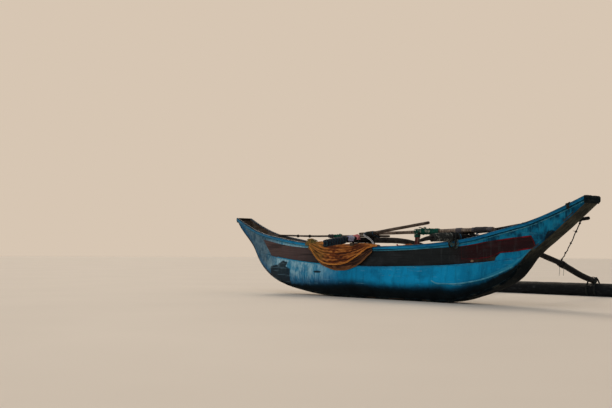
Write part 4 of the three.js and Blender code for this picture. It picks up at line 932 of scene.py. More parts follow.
def make_shell(nm, side, part, a, b):
    xs = spread(a, b, 0.016 if side < 0 else 0.024)
    n_out = 46 if side < 0 else 32
    rows, edges, mats = [], [], None
    for x in xs:
        z0, z1 = float(z_in(x)) + GAP, float(z_ledge(x))
        hgt = z1 - z0
        zt = z1 - min(0.006, hgt * 0.2)
        zb = z0 + min(0.004, hgt * 0.15)
        zz = np.concatenate([[z0], zb + (zt - zb) * np.linspace(0, 1, n_out)])
        yy = shell_y(x, zz)
        yy[0] -= 0.003
        p = [(y, z) for y, z in zip(yy, zz)]
        e = [0.8, 0.5] + [0.0] * (n_out - 3) + [0.5, 1.0]
        ys = float(shell_y(x, z1))
        in_y = float(wash_foot(x)) - WASH_T - 0.006
        p += [(ys - 0.0015, z1 - 0.0018), (ys - 0.006, z1)]
        e += [1.0, 0.8]
        for t in (0.33, 0.66):
            p.append((ys - 0.006 + (in_y + 0.004 - ys + 0.006) * t, z1))
            e.append(0.0)
        p += [(in_y + 0.003, z1), (in_y, z1 - 0.003), (in_y, z1 - FLANGE_T + 0.003), (in_y + 0.003, z1 - FLANGE_T)]
        e += [0.6, 0.8, 0.8, 0.4]
        k0 = len(p)
        zi_top = z0 + hgt * (1 - (FLANGE_T + 0.004) / hgt)
        zi = zi_top + (z0 + 0.001 - zi_top) * np.linspace(0, 1, 15)
        p += [(y - SHELL_T, z) for y, z in zip(shell_y(x, zi), zi)]
        e += [0.0] * 15
        rows.append(p)
        edges.append(e)
    P = np.array(rows)
    n, k = P.shape[:2]
    v = np.empty((n, k, 3))
    v[..., 0] = xs[:, None]
    v[..., 1] = P[..., 0]
    v[..., 2] = P[..., 1]
    X, Z = v[..., 0], v[..., 2]
    keep = np.clip((Z - z_in(X)) / 0.06, 0, 1) * np.clip((z_ledge(X) - Z) / 0.05, 0, 1)
    d = (wob_a(X, Z) + wob_b(X, Z)) * keep
    v[:, :k0, 1] += d[:, :k0]
    v[..., 1] *= side
    quads = grid_quads(n, k)
    col = np.tile(np.arange(k), n - 1)
    mi = np.where(col >= k0 - 5, 1, 0)
    flat = v.reshape(-1, 3)
    tris = np.concatenate([strip_cap(0, k), strip_cap((n - 1) * k, k, True)])
    g = Geo().add(flat, quads, tris, mi, **outside_attrs(flat, side, np.array(edges).ravel(), False))
    o = g.object(f"hull_{nm}_{part}", [M_HULL, M_INSIDE], sharp=50)
    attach(o, ROOT)
    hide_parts(f"side_shell_{nm}_{part}")


def make_shells():
    j = SHELL_JOINTS
    g2 = GAP / 2
    for nm, side in SIDES:
        for part, a, b in (("aft", SHELL_STERN, j[0] - g2), ("mid", j[0] + g2, j[1] - g2), ("fore", j[1] + g2, SHELL_BOW)):
            make_shell(nm, side, part, a, b)


def make_wash(nm, side):
    """Upright board with a rounded top edge and a lashing hole."""
    holes = [LASH_FORE_NEAR_X] if side < 0 else [LASH_FORE_FAR_X, BOOM_AFT_X]
    step = 0.020 if side < 0 else 0.026
    xs = spread(STERN_X, BOW_X, step)
    extra = [SHELL_STERN - 0.0012, SHELL_STERN - 0.0004, SHELL_BOW + 0.0004, SHELL_BOW + 0.0012]
    for h in holes:
        extra += [h - 0.05, h + 0.05]
    for e in extra:
        xs = xs[np.abs(xs - e) > 0.004]
    xs = np.sort(np.concatenate([xs, extra]))
    xs = np.unique(np.round(xs, 7))
    n_v = 27
    n = len(xs)
    beyond = (xs < SHELL_STERN - 0.001) | (xs > SHELL_BOW + 0.001)
    z0 = np.where(beyond, z_in(xs), z_ledge(xs)) + GAP
    z1 = z_sheer(xs)
    s = np.linspace(0, 1, n_v)
    s[1], s[-2] = 0.010, 0.990
    Z = z0[:, None] + (z1 - z0)[:, None] * s
    cut = []
    for h in holes:
        hz = float(z_sheer(h)) - HOLE_DROP
        i0 = int(np.argmin(np.abs(xs - h)))
        lo = int(np.argmin(np.abs(Z[i0] - (hz - 0.019))))
        hi = int(np.argmin(np.abs(Z[i0] - (hz + 0.019))))
        if hi <= lo:
            hi = lo + 1
        w = np.clip((0.11 - np.abs(xs - h)) / 0.055, 0, 1)
        w = w * w * (3 - 2 * w)
        for i in np.nonzero(w)[0]:
            target = np.interp(np.arange(n_v), [0, lo, hi, n_v - 1], [Z[i, 0], hz - 0.019, hz + 0.019, Z[i, -1]])
            Z[i] += (target - Z[i]) * w[i]
        ia = int(np.argmin(np.abs(xs - (h - 0.05))))
        ib = int(np.argmin(np.abs(xs - (h + 0.05))))
        cut.append((ia, ib, lo, hi))
    X = np.repeat(xs[:, None], n_v, 1)
    Y = wash_y(X, Z)
    inset = np.where((s == 0) | (s == 1), 0.002, 0.0)
    keep = np.clip((Z - z0[:, None]) / 0.05, 0, 1) * np.clip((z1[:, None] - 0.05 - Z) / 0.05, 0, 1)
    keep *= np.clip((X - STERN_X) / 0.1, 0, 1) * np.clip((BOW_X - X) / 0.1, 0, 1)
    for h in holes:
        keep *= np.clip((np.abs(X - h) - 0.07) / 0.08, 0, 1)
    d = (wob_w(X, Z) + 0.6 * wob_b(X, Z)) * keep
    outer = np.stack([X, side * (Y + d - inset), Z], -1)
    inner = np.stack([X, side * (Y + d - WASH_T + inset), Z], -1)
    g = Geo()
    edge = np.zeros((n, n_v))
    edge[:, [0, -1]] = 1
    edge[:, [1, -2]] = 0.6
    edge[:1] = edge[-1:] = 1
    for h in holes:
        near = np.clip(1 - np.maximum(np.abs(X - h) - 0.05, np.abs(Z - (float(z_sheer(h)) - HOLE_DROP)) - 0.019) / 0.02, 0, 1)
        edge = np.maximum(edge, near)
    both = np.concatenate([outer.reshape(-1, 3), inner.reshape(-1, 3)])
    at = outside_attrs(both, side, np.tile(edge.ravel(), 2))
    q = grid_quads(n, n_v, close_v=False)
    ci = np.repeat(np.arange(n - 1), n_v - 1)
    cj = np.tile(np.arange(n_v - 1), n - 1)
    hole = np.zeros(len(q), bool)
    m = n * n_v
    walls = []
    for ia, ib, lo, hi in cut:
        hole |= (ci >= ia) & (ci < ib) & (cj >= lo) & (cj < hi)
        ring = [(i, lo) for i in range(ia, ib)] + [(ib, j) for j in range(lo, hi)] + [(i, hi) for i in range(ib, ia, -1)] + [(ia, j) for j in range(hi, lo, -1)]
        ids = [i * n_v + j for i, j in ring]
        walls += [(ids[k], ids[(k + 1) % len(ids)], m + ids[(k + 1) % len(ids)], m + ids[k]) for k in range(len(ids))]
    rim = [i * n_v for i in range(n)] + [(n - 1) * n_v + j for j in range(1, n_v)] + [i * n_v + n_v - 1 for i in range(n - 2, -1, -1)] + [j for j in range(n_v - 2, 0, -1)]
    walls += [(rim[k], rim[(k + 1) % len(rim)], m + rim[(k + 1) % len(rim)], m + rim[k]) for k in range(len(rim))]
    qo = q[~hole]
    quads = np.concatenate([qo, (q[~hole] + m)[:, ::-1], np.array(walls)])
    mi = np.concatenate([np.zeros(len(qo), int), np.ones(len(qo), int), np.zeros(len(walls), int)])
    g.add(both, quads, None, mi, **at)
    o = g.object(f"washboard_{nm}", [M_HULL, M_INSIDE_W], sharp=50)
    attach(o, ROOT)
    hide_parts(f"washstrake_{nm}")


def section_sweep(name, xs, section, mats, node, sharp=45, shake=None, ends=True, lip=None):
    """Loft of closed (y, z) sections at stations xs. section(x) gives points and their edge values."""
    rows, edges = [], []
    for x in xs:
        p, e = section(float(x))
        rows.append(p)
        edges.append(e)
    P = np.array(rows)
    n, k = P.shape[:2]
    v = np.empty((n, k, 3))
    v[..., 0] = xs[:, None]
    v[..., 1:] = P
    if shake is not None:
        v = shake(v)
    flat = v.reshape(-1, 3)
    tris = np.concatenate([strip_cap(0, k), strip_cap((n - 1) * k, k, True)])
    edge = np.array(edges, float)
    if ends:
        edge[[0, -1]] = 1
    more = {} if lip is None else lip(v)
    g = Geo().add(flat, grid_quads(n, k), tris, 0, edge=edge.ravel(), **more)
    o = g.object(name, mats, sharp=sharp)
    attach(o, ROOT)
    if node:
        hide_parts(*([node] if isinstance(node, str) else node))
    return o


def make_rail(nm, side):
    xs = spread(STERN_X, BOW_X, 0.018)

    def section(x):
        y, z = float(half_sheer(x)), float(z_sheer(x))
        foot = float(wash_y(x, z - RAIL_H))
        o = 0.0008 * math.sin(3.1 * x) + float(wob_r(x, 0.2 if side < 0 else 4.2)) * 0.9
        t = float(wob_r(x, 2.7)) * 0.7
        c = [(y - .026, z + GAP), (y + .0012, z + GAP), (foot + .0012, z - RAIL_H), (y + RAIL_OUT + o, z - RAIL_H), (y + RAIL_OUT + o, z - 0.021),
             (y + RAIL_OUT + o, z + RAIL_LIP + t), (y + 0.006, z + RAIL_LIP + 0.0025 + t), (y - .026, z + RAIL_LIP + t * 0.6)]
        p, e = rounded(c, [.003, 0, .003, .007, 0, .010, 0, .007], 3)
        p = p.copy()
        p[:, 0] *= side
        return p, e
    def lip(v):
        # the top face and its outer corner, and the very bottom of the face, where the rail's paint carries painted
        # shade
        up = np.clip((v[..., 2] - z_sheer(v[..., 0]) - 0.002) / 0.004, 0, 1)
        return {"lip": np.maximum(up, np.clip((z_sheer(v[..., 0]) - RAIL_H + 0.004 - v[..., 2]) / 0.003, 0, 1)).ravel()}
    section_sweep(f"gunwale_{nm}", xs, section, [M_RAIL], f"rail_{nm}", 40, lip=lip)

    # half-round bead nailed to the board a finger below the rail
    def bead(x):
        z = float(z_sheer(x)) - 0.0665 + 0.4 * float(wob_r(x, 6.1 + side))
        out = 0.0075 + 0.5 * float(wob_r(x, 9.3))
        y0, y1 = float(wash_y(x, z - .0075)) - .0022, float(wash_y(x, z + .0075)) - .0022
        c = [(y0, z - .0075), (y0 + .0022 + out * .55, z - .0072), (y0 + .0022 + out, z - .002), (y1 + .0022 + out, z + .002), (y1 + .0022 + out * .55, z + .0072), (y1, z + .0075)]
        p, e = rounded(c, [0, .002, .003, .003, .002, 0], 2)
        p = p.copy()
        p[:, 0] *= side
        return p, e * 0.5
    section_sweep(f"rail_bead_{nm}", spread(STERN_X + 0.02, BOW_X - 0.02, 0.018), bead, [M_BEAD], None, 40)


def make_plank(name, node, a, b, step=0.022):
    xs = spread(a, b, step)

    def section(x):
        h = float(half_bottom(x))
        z0, z1 = float(z_out(x)), float(z_in(x))
        h += 0.5 * float(wob_p(x, 1.0))
        c = [(-h, z0), (-h * 0.5, z0), (0, z0), (h * 0.5, z0), (h, z0), (h, z1), (h * 0.5, z1), (0, z1), (-h * 0.5, z1), (-h, z1)]
        r = [.007, 0, 0, 0, .007, .003, 0, 0, 0, .003]
        p, e = rounded(c, r, 3)
        return p, e

    def shake(v):
        # the outer face is uneven where it is clear of the ground
        X, Y, Z = v[..., 0], v[..., 1], v[..., 2]
        out = Z < (z_out(X) + z_in(X)) / 2
        lift = np.clip((z_out(X) - 0.02) / 0.15, 0, 1)
        v[..., 2] = Z + np.where(out, (wob_p(X, Y) * 0.8 + wob_b(X, Y)) * lift, 0)
        return v

    def sides(v):
        X, Y, Z = (v[..., i].ravel() for i in range(3))
        on = np.clip((np.abs(Y) - half_bottom(X) + 0.0055) / 0.003, 0, 1)
        inner = np.where((Z > (z_out(X) + z_in(X)) / 2) & (np.abs(Y) < half_bottom(X) - 0.001), 1.0, 0.0)
        return {"lip": on, "inner": inner, "d_spot": np.where(Y < 0, inside_distance(SPOT, X, Z), -1.0)}
    section_sweep(name, xs, section, [M_TAR], node, 45, shake, lip=sides)


def make_planks():
    g2 = GAP / 2
    j = BOTTOM_JOINTS
    make_plank("bottom_board_aft", "bottom_plank_aft", PLANK_JOINT_STERN + g2, j[0] - g2)
    make_plank("bottom_board_mid", "bottom_plank_mid", j[0] + g2, j[1] - g2)
    make_plank("bottom_board_fore", "bottom_plank_fore", j[1] + g2, PLANK_JOINT_BOW - g2)
    make_plank("stem_board_bow", "bow_stem_plank", PLANK_JOINT_BOW + g2, BOW_X, 0.014)
    make_plank("stem_board_stern", "stern_stem_plank", STERN_X, PLANK_JOINT_STERN - g2, 0.014)


def make_strips():
    for nm, side in SIDES:
        def bead(x):
            y, z = float(half_ledge(x)), float(z_ledge(x)) + GAP
            w = 0.6 * float(wob_r(x, 8.0 + side))
            p, e = rounded([(y - .022, z), (y - .0012, z), (y - .002 + w, z + .009), (y - .008 + w, z + .015), (y - .022, z + .015)],
                           [.001, .001, .004, .004, .003], 2)
            p = p.copy()
            p[:, 0] *= side
            return p, e
        section_sweep(f"ledge_bead_{nm}", spread(-2.85, 2.70, 0.020), bead, [M_RAIL2], f"ledge_strip_{nm}", 40)

        def strake(x):
            z = float(strake_z(x)) + 0.5 * float(wob_r(x, 5.5))
            f = min(1.0, (x - 1.42) / 0.10, (3.05 - x) / 0.10)
            out = 0.004 + 0.011 * max(0.0, f) ** 0.6
            c = [(float(shell_y(x, z - .013)) + .0006, z - .013), (float(shell_y(x, z - .008)) + out, z - .008),
                 (float(shell_y(x, z + .008)) + out, z + .008), (float(shell_y(x, z + .013)) + .0006, z + .013)]
            p, e = rounded(c, [.001, .005, .005, .001], 3)
            p = p.copy()
            p[:, 0] *= side
            return p, e
        section_sweep(f"bow_rib_{nm}", spread(1.42, 3.05, 0.016), strake, [M_RIB], f"bow_strake_{nm}", 40)


def make_cap(name, node, mat, profile, radii, half, seed, xb, length, turn):
    """Block across a tip: its outline in x, z rounded, its ends rounded over, the faces uneven."""
    P, e = rounded(profile, radii, 4)
    area2 = sum(P[i - 1][0] * P[i][1] - P[i][0] * P[i - 1][1] for i in range(len(P)))
    if area2 < 0:
        P, e = P[::-1], e[::-1]
    # more points on long sides
    cnt = [max(1, int(np.hypot(*(P[(i + 1) % len(P)] - P[i])) / 0.012)) for i in range(len(P))]
    P, e = refine(P, e, cnt)
    c = P.mean(0)
    wob = Wob(seed, 0.0022, 0.04, 0.30, 18)
    bev = [(0.0, 0.010), (0.0018, 0.0055), (0.005, 0.002), (0.010, 0.0)]
    ys = [(-half + d, s) for d, s in bev] + [(t, 0.0) for t in np.linspace(-half + 0.014, half - 0.014, 58)] + [(half - d, s) for d, s in bev[::-1]]
    k = len(P)
    rows, ring, edge = [], [], []
    r0 = np.linalg.norm(P - c, axis=1)
    for y, s in ys:
        q = c + (P - c) * (1 - s / r0)[:, None]
        wv = wob(P[:, 0] * 3 + y, P[:, 1] * 3 - y * 1.3)
        q = q + (P - c) / r0[:, None] * (wv * 0.55 - 0.0006)[:, None] * (0.0 if s else 1.0)
        rows.append(np.stack([q[:, 0], np.full(k, y), q[:, 1]], -1))
        ring.append(np.linalg.norm(q - c - np.array([0.004, -0.006]), axis=1))
        edge.append(np.maximum(e, 1.0 if s else 0.0))
    # end faces: rings of points shrinking to the middle
    for side, at in ((-1, 0), (1, len(rows) - 1)):
        base = rows[at]
        add, ra, ea = [], [], []
        for f in (0.86, 0.68, 0.48, 0.28, 0.12):
            b = base.copy()
            b[:, 0] = c[0] + (base[:, 0] - c[0]) * f
            b[:, 2] = c[1] + (base[:, 2] - c[1]) * f
            b[:, 1] = side * half - side * 0.0012 * math.sin(f * 9.0 + seed)
            add.append(b)
            ra.append(np.linalg.norm(b[:, [0, 2]] - c - np.array([0.004, -0.006]), axis=1))
            ea.append(np.zeros(k))
        if side < 0:
            rows, ring, edge = add[::-1] + rows, ra[::-1] + ring, ea[::-1] + edge
        else:
            rows, ring, edge = rows + add, ring + ra, edge + ea
    n = len(rows)
    v = np.array(rows).reshape(-1, 3)
    endv = np.zeros((n, k))
    endv[:6] = endv[-6:] = 1
    mid = np.array([[c[0], -half, c[1]], [c[0], half, c[1]]])

    def round_plan(p):
        # corners rounded as seen from above
        u = np.clip(turn - (half - np.abs(p[:, 1])), 0, turn)
        p[:, 0] = xb + (p[:, 0] - xb) * (length - turn + np.sqrt(turn ** 2 - u ** 2 + 1e-9)) / length
        return p
    v, mid = round_plan(v), round_plan(mid)
    tris = np.concatenate([fan_cap(0, k, n * k), fan_cap((n - 1) * k, k, n * k + 1, True)])
    g = Geo()
    g.add(np.concatenate([v, mid]), grid_quads(n, k), tris, 0, edge=np.concatenate([np.array(edge).ravel(), [0, 0]]),
          ring=np.concatenate([np.array(ring).ravel(), [0.007, 0.007]]), end=np.concatenate([endv.ravel(), [1, 1]]))
    o = g.object(name, [mat], sharp=40)
    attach(o, ROOT)
    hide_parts(node)


def make_caps():
    x = BOW_X + GAP
    zb, zt = float(z_out(BOW_X)), float(z_sheer(BOW_X)) + RAIL_LIP + 0.004
    make_cap("end_block_bow", "bow_cap", cap_paint("end_block_dark", False),
             [(x, zb), (x + .046, zb + .036), (x + .046, zt - .018), (x + .027, zt + .006), (x, zt)], [.004, .012, .012, .010, .004], 0.226, 31, x, 0.046, 0.037)
    x = STERN_X - GAP
    zb, zt = float(z_out(STERN_X)), float(z_sheer(STERN_X)) + RAIL_LIP + 0.004
    make_cap("end_block_stern", "stern_cap", cap_paint("end_block_blue", True),
             [(x, zb), (x, zt), (x - .027, zt + .004), (x - .041, zt - .014), (x - .041, zb + .046)], [.004, .004, .010, .010, .010], 0.219, 32, x, 0.041, 0.032)


def box_board(name, node, mat, lo, hi, along, seed, round_r=0.006, shape=None):
    """Board with rounded, uneven faces: a rounded section swept along y or z."""
    lo, hi = np.array(lo, float), np.array(hi, float)
    ax = {"Y": 1, "Z": 2}[along]
    u, w = [i for i in range(3) if i != ax]
    wob = Wob(seed, 0.0018, 0.06, 0.5, 16)
    c0 = [(lo[u], lo[w]), (hi[u], lo[w]), (hi[u], hi[w]), (lo[u], hi[w])]
    P, e = rounded(c0, [round_r] * 4, 3)
    cnt = [max(1, int(np.hypot(*(P[(i + 1) % len(P)] - P[i])) / 0.02)) for i in range(len(P))]
    P, e = refine(P, e, cnt)
    c = np.array([(lo[u] + hi[u]) / 2, (lo[w] + hi[w]) / 2])
    ts = spread(lo[ax], hi[ax], 0.016)
    ts = np.concatenate([[lo[ax]], [lo[ax] + 0.004], ts[1:-1], [hi[ax] - 0.004], [hi[ax]]])
    rows, edge = [], []
    for i, t in enumerate(ts):
        s = 0.003 if i in (0, len(ts) - 1) else 0.0
        q = P + (c - P) / np.maximum(1e-6, np.abs(P - c).max()) * s
        dw = wob(P[:, 0] * 1.7 + t, P[:, 1] * 1.7 - 0.4 * t)
        q = q + np.sign(P - c) * (dw * 0.5 - 0.0008)[:, None]
        if shape is not None:
            q = shape(q, t)
        r = np.empty((len(P), 3))
        r[:, ax], r[:, u], r[:, w] = t, q[:, 0], q[:, 1]
        rows.append(r)
        edge.append(np.maximum(e, 0.9 if s else 0))
    n, k = len(rows), len(P)
    v = np.array(rows).reshape(-1, 3)
    g = Geo()
    mid = np.array([v[:k].mean(0), v[-k:].mean(0)])
    tris = np.concatenate([fan_cap(0, k, n * k), fan_cap((n - 1) * k, k, n * k + 1, True)])
    g.add(np.concatenate([v, mid]), grid_quads(n, k), tris, 0, edge=np.concatenate([np.array(edge).ravel(), [0, 0]]))
    o = g.object(name, [mat], sharp=40)
    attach(o, ROOT)
    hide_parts(node)
    return o


def make_boards():
    bare = board_wood("thwart_boards", "Y")
    for i, (nm, x, drop, w) in enumerate([("stern", -2.95, 0.20, 0.24), ("aft", -1.55, 0.19, 0.22), ("mast", 0.76, 0.20, 0.24), ("bow", 2.95, 0.22, 0.24)]):
        z = float(z_sheer(x)) - drop
        y = min(float(wash_y(x - w / 2, z - 0.03)), float(wash_y(x + w / 2, z - 0.03)), float(wash_y(x - w / 2, z)), float(wash_y(x + w / 2, z))) - WASH_T - 0.001
        box_board(f"seat_board_{nm}", f"thwart_{nm}", bare, (x - w / 2, -y, z - 0.028), (x + w / 2, y, z), "Y", 40 + i, 0.005)
    zt = float(rail_top(BOOM_AFT_X))
    box_board("boom_bearer", "boom_seat_aft", board_wood("bearer_wood", "Y", (40, 33, 27), (74, 62, 50), (116, 100, 82)),
              (BOOM_AFT_X - .045, -.30, zt + GAP + .0006), (BOOM_AFT_X + .045, .30, zt + SEAT_H), "Y", 50, 0.009)
    z0 = float(z_sheer(.76)) - 0.20 + GAP

    def lean(q, t):
        f = (t - z0) / (1.220 - z0)
        q = q.copy()
        q[:, 0] = (q[:, 0] - 0.738) * (0.034 + 0.008 * f) / 0.030 + 0.738 + 0.057 * f
        return q
    box_board("crutch", "crutch_post", board_wood("crutch_red", "Z", (40, 20, 20), (84, 48, 44), (150, 110, 92), red=(74, 16, 20)),
              (0.708, 0.038, z0), (0.768, 0.094, 1.220), "Z", 51, 0.006, lean)


# ======================================================================
# round timber
# ======================================================================
def frames_along(C):
    """Tangents and a turning pair of side vectors down a line."""
    T = np.gradient(C, axis=0)
    T /= np.linalg.norm(T, axis=1)[:, None]
    N = np.empty_like(C)
    ref = np.array([0, 0, 1.0]) if abs(T[0, 2]) < 0.9 else np.array([1.0, 0, 0])
    nrm = ref - T[0] * (ref @ T[0])
    for i in range(len(C)):
        nrm = nrm - T[i] * (nrm @ T[i])
        nrm = nrm / np.linalg.norm(nrm)
        N[i] = nrm
    return T, N, np.cross(T, N)


def smooth_line(rows, step):
    """Line and radius through a table's rows, evenly spaced."""
    rows = np.array(rows, float)
    s = np.concatenate([[0], np.cumsum(np.linalg.norm(np.diff(rows[:, :3], axis=0), axis=1))])
    t = spread(0, s[-1], step)
    f = [pchip(s, rows[:, i]) for i in range(rows.shape[1])]
    return t, np.stack([f[0](t), f[1](t), f[2](t)], -1), f[3](t)


def make_log(name, node, mat, rows, seed, sides=28, step=0.018, rough=0.018, knots=(), squash=None, floor=None, taper=(0.4, 0.4), grooves=0.0):
    """Timber: rounded ends, ovality, knots at (s, angle, height, size) and shallow grooves along the grain."""
    s, C, R = smooth_line(rows, step)
    T, N, B = frames_along(C)
    L = s[-1]
    th = np.arange(sides) / sides * 2 * math.pi
    w1 = Wob(seed, 1.0, 0.25, 1.6, 12)
    w2 = Wob(seed + 1, 1.0, 0.10, 0.6, 14)
    S, A = np.meshgrid(s, th, indexing="ij")
    rad = R[:, None] * (1 + rough * (w1(S, np.cos(A) * 0.25) + 0.6 * w2(S + np.cos(A) * 0.2, np.sin(A) * 0.2) + 0.8 * np.sin(2 * A + 3 * w1(s, 0.0)[:, None] + seed)) - rough * 0.9)
    if grooves:
        gw = Wob(seed + 2, 1.0, 0.5, 2.5, 8)
        rad = rad - R[:, None] * grooves * np.clip(np.sin(A * 9 + 2.2 * gw(S, 0.0)), 0, 1) ** 6 * np.clip(w1(S * 1.3, A * 0.3) * 0.7 + 0.5, 0, 1)
    edge = np.clip(w1(S, A * 0.2) * 0.3, 0, 0.4)
    for ks, ka, kh, kd in knots:
        da = (A - ka + math.pi) % (2 * math.pi) - math.pi
        q = ((S - ks) / kd) ** 2 + (da * R[:, None] / kd) ** 2
        rad = rad + kh * np.exp(-q * 1.6) - kh * 0.55 * np.exp(-q * 14)
        edge = np.maximum(edge, np.exp(-q * 1.2))
    ends = np.ones(len(s))
    for d, e in ((s, taper[0]), (L - s, taper[1])):
        f = np.clip(d / (R * e), 0, 1)
        ends = np.minimum(ends, 0.80 + 0.20 * np.sqrt(1 - (1 - f) ** 2))
    rad = rad * ends[:, None]
    V = C[:, None] + rad[..., None] * (np.cos(A)[..., None] * N[:, None] + np.sin(A)[..., None] * B[:, None])
    lp = np.stack([S, rad * np.cos(A), rad * np.sin(A)], -1)
    rows_v, rows_lp, rows_e = [V], [lp], [edge]
    # end faces, slightly dished, split along the grain
    for at, first in ((0, True), (len(s) - 1, False)):
        sg = -1 if first else 1
        fv, fl, fe = [], [], []
        for f in (0.82, 0.60, 0.38, 0.18):
            v = C[at] + (V[at] - C[at]) * f + T[at] * sg * (-0.0015 + 0.0025 * math.sin(5 * f + seed))
            fv.append(v)
            fl.append(lp[at] * np.array([1, f, f]))
            fe.append(np.full(sides, 0.6))
        if first:
            rows_v.insert(0, np.array(fv[::-1]))
            rows_lp.insert(0, np.array(fl[::-1]))
            rows_e.insert(0, np.array(fe[::-1]))
        else:
            rows_v.append(np.array(fv))
            rows_lp.append(np.array(fl))
            rows_e.append(np.array(fe))
    V = np.concatenate(rows_v)
    LP = np.concatenate(rows_lp)
    E = np.concatenate(rows_e)
    n = len(V)
    if floor is not None:
        V[..., 2] = np.maximum(V[..., 2], floor)
    flat = V.reshape(-1, 3)
    mid = np.array([V[0].mean(0), V[-1].mean(0)])
    g = Geo()
    tris = np.concatenate([fan_cap(0, sides, n * sides), fan_cap((n - 1) * sides, sides, n * sides + 1, True)])
    g.add(np.concatenate([flat, mid]), grid_quads(n, sides), tris, 0, lp=np.concatenate([LP.reshape(-1, 3), [[0, 0, 0], [L, 0, 0]]]),
          edge=np.concatenate([E.ravel(), [0.6, 0.6]]))
    o = g.object(name, [mat], sharp=55)
    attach(o, ROOT)
    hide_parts(node)
    return o


BOOM_FORE = [(1.830, -1.12, 1.072, .026), (1.838, -.86, 1.122, .040), (1.848, -.50, FORE_Z - .004, .050), (1.858, -.20, FORE_Z, .055),
             (1.865, 0, FORE_Z, .055), (1.872, .22, FORE_Z, .055), (1.893, .70, FORE_Z - .004, .055), (1.925, 1.40, 1.072, .054),
             (1.968, 2.35, .835, .052), (1.992, 2.86, .703, .053), (2.002, 3.08, .634, .063), (2.030, 3.68, .424, .062), (2.047, 3.98, .345, .056), (2.058, 4.17, .300, .052)]
BOOM_AFT = [(-.570, -.97, 1.044, .055), (-.570, -.66, 1.086, .056), (-.570, -.345, AFT_Z, .055), (-.570, 0, AFT_Z, .055), (-.570, .22, AFT_Z, .055),
            (-.570, .81, AFT_Z + .003, .058), (-.566, 1.10, 1.114, .057), (-.555, 1.55, 1.068, .055), (-.515, 2.40, .838, .053), (-.470, 3.10, .628, .054),
            (-.430, 3.70, .424, .058), (-.408, 3.99, .345, .055), (-.396, 4.17, .300, .052)]
LONG_POLE = [(-3.27, .146, 1.247, .018), (-2.22, .134, 1.217, .0195), (-.57, .112, AFT_TOP + .0225, .021), (.06, .104, AFT_TOP + .013, .021)]
MAST = [(-.72, .085, AFT_TOP + .0700, .0245), (0.0, .078, AFT_TOP + .0710, .029), (.93, .068, 1.2575, .034), (1.86, .056, 1.271, .037), (2.50, .052, 1.274, .038)]
SPRIT = [(-.46, -.060, 1.219, .028), (.40, -.055, 1.325, .030), (1.157, -.050, 1.4175, .0285)]
BOWPOLE = [(1.42, .098, 1.196, .024), (1.86, .112, FORE_TOP + .0290, .025), (2.42, .179, 1.278, .026), (2.935, .242, 1.349, .0265), (3.95, .364, 1.421, .029), (4.07, .379, 1.434, .029)]
FLOAT = [(FLOAT_X0, FLOAT_Y, .214, .038), (FLOAT_X0 + .10, FLOAT_Y, .182, .078), (FLOAT_X0 + .35, FLOAT_Y, .146, .114), (FLOAT_X0 + .85, FLOAT_Y, .131, .133),
         (-.40, FLOAT_Y, .131, .135), (.80, FLOAT_Y, .131, .135), (2.05, FLOAT_Y, .131, .135), (FLOAT_X1 - .85, FLOAT_Y, .131, .133),
         (FLOAT_X1 - .35, FLOAT_Y, .152, .114), (FLOAT_X1 - .10, FLOAT_Y, .202, .078), (FLOAT_X1, FLOAT_Y, .238, .038)]


def make_timber():
    boom = log_wood("boom_timber", (8, 8, 9), (25, 22, 21), (56, 49, 43), crack=0.8, outer=0.75)
    pole = log_wood("pole_timber", (50, 40, 34), (114, 97, 84), (182, 160, 140), ringed=0.70, crack=0.3)
    thin = log_wood("thin_pole_timber", (34, 28, 26), (70, 58, 50), (116, 98, 84), ringed=0.35, crack=0.3)
    bowp = log_wood("bow_pole_timber", (12, 12, 14), (32, 30, 30), (70, 62, 58), ringed=0.4, crack=0.5)
    flo = log_wood("float_timber", (3, 5, 8), (9, 13, 17), (27, 30, 32), crack=0.7, bark=0.35, wet=1)
    make_log("boom_log_fore", "boom_fore", boom, BOOM_FORE, 60, grooves=0.05,
             knots=[(2.6, 1.9, .009, .035), (3.3, 3.6, .008, .03), (1.9, 5.2, .007, .03), (4.2, 2.6, .009, .035), (0.2, 2.2, .004, .018)])
    make_log("boom_log_aft", "boom_aft", boom, BOOM_AFT, 64, grooves=0.05,
             knots=[(2.3, 2.9, .009, .035), (3.0, 1.2, .008, .03), (3.9, 3.9, .009, .03), (0.25, 4.4, .006, .025)])
    make_log("float_trunk", "float_log", flo, FLOAT, 68, sides=36, rough=0.014, floor=0.0, grooves=0.03,
             knots=[(1.1, 2.2, .008, .04), (2.9, 1.4, .007, .035), (4.4, 2.7, .008, .04)])
    make_log("pole_long", "long_pole", thin, LONG_POLE, 72, sides=16, step=0.02, rough=0.03,
             knots=[(0.5, 1.6, .005, .014), (0.9, 4.0, .005, .012), (1.3, 1.0, .006, .014), (1.75, 3.4, .004, .012), (2.3, 1.8, .006, .014), (3.0, 5.0, .005, .014), (3.4, 1.2, .004, .012)])
    make_log("pole_mast", "mast_pole", pole, MAST, 76, sides=22, step=0.016, rough=0.018,
             knots=[(0.35, 1.8, .004, .014), (2.5, 5.0, .005, .016), (2.9, 1.1, .005, .016), (3.25, 4.1, .004, .016)])
    make_log("pole_sprit", "sprit_pole", thin, SPRIT, 80, sides=16, step=0.016, rough=0.02, knots=[(1.2, 4.2, .003, .012)])
    make_log("pole_bow", "bow_pole", bowp, BOWPOLE, 84, sides=20, step=0.016, rough=0.022,
             knots=[(0.9, 1.5, .005, .016), (1.6, 4.2, .005, .016), (2.2, 0.9, .004, .016)])


M_RAIL = rail_paint("rail_gloss", 0.75)
M_RAIL2 = rail_paint("bead_gloss", 0.35, (4, 106, 146), (20, 146, 184))
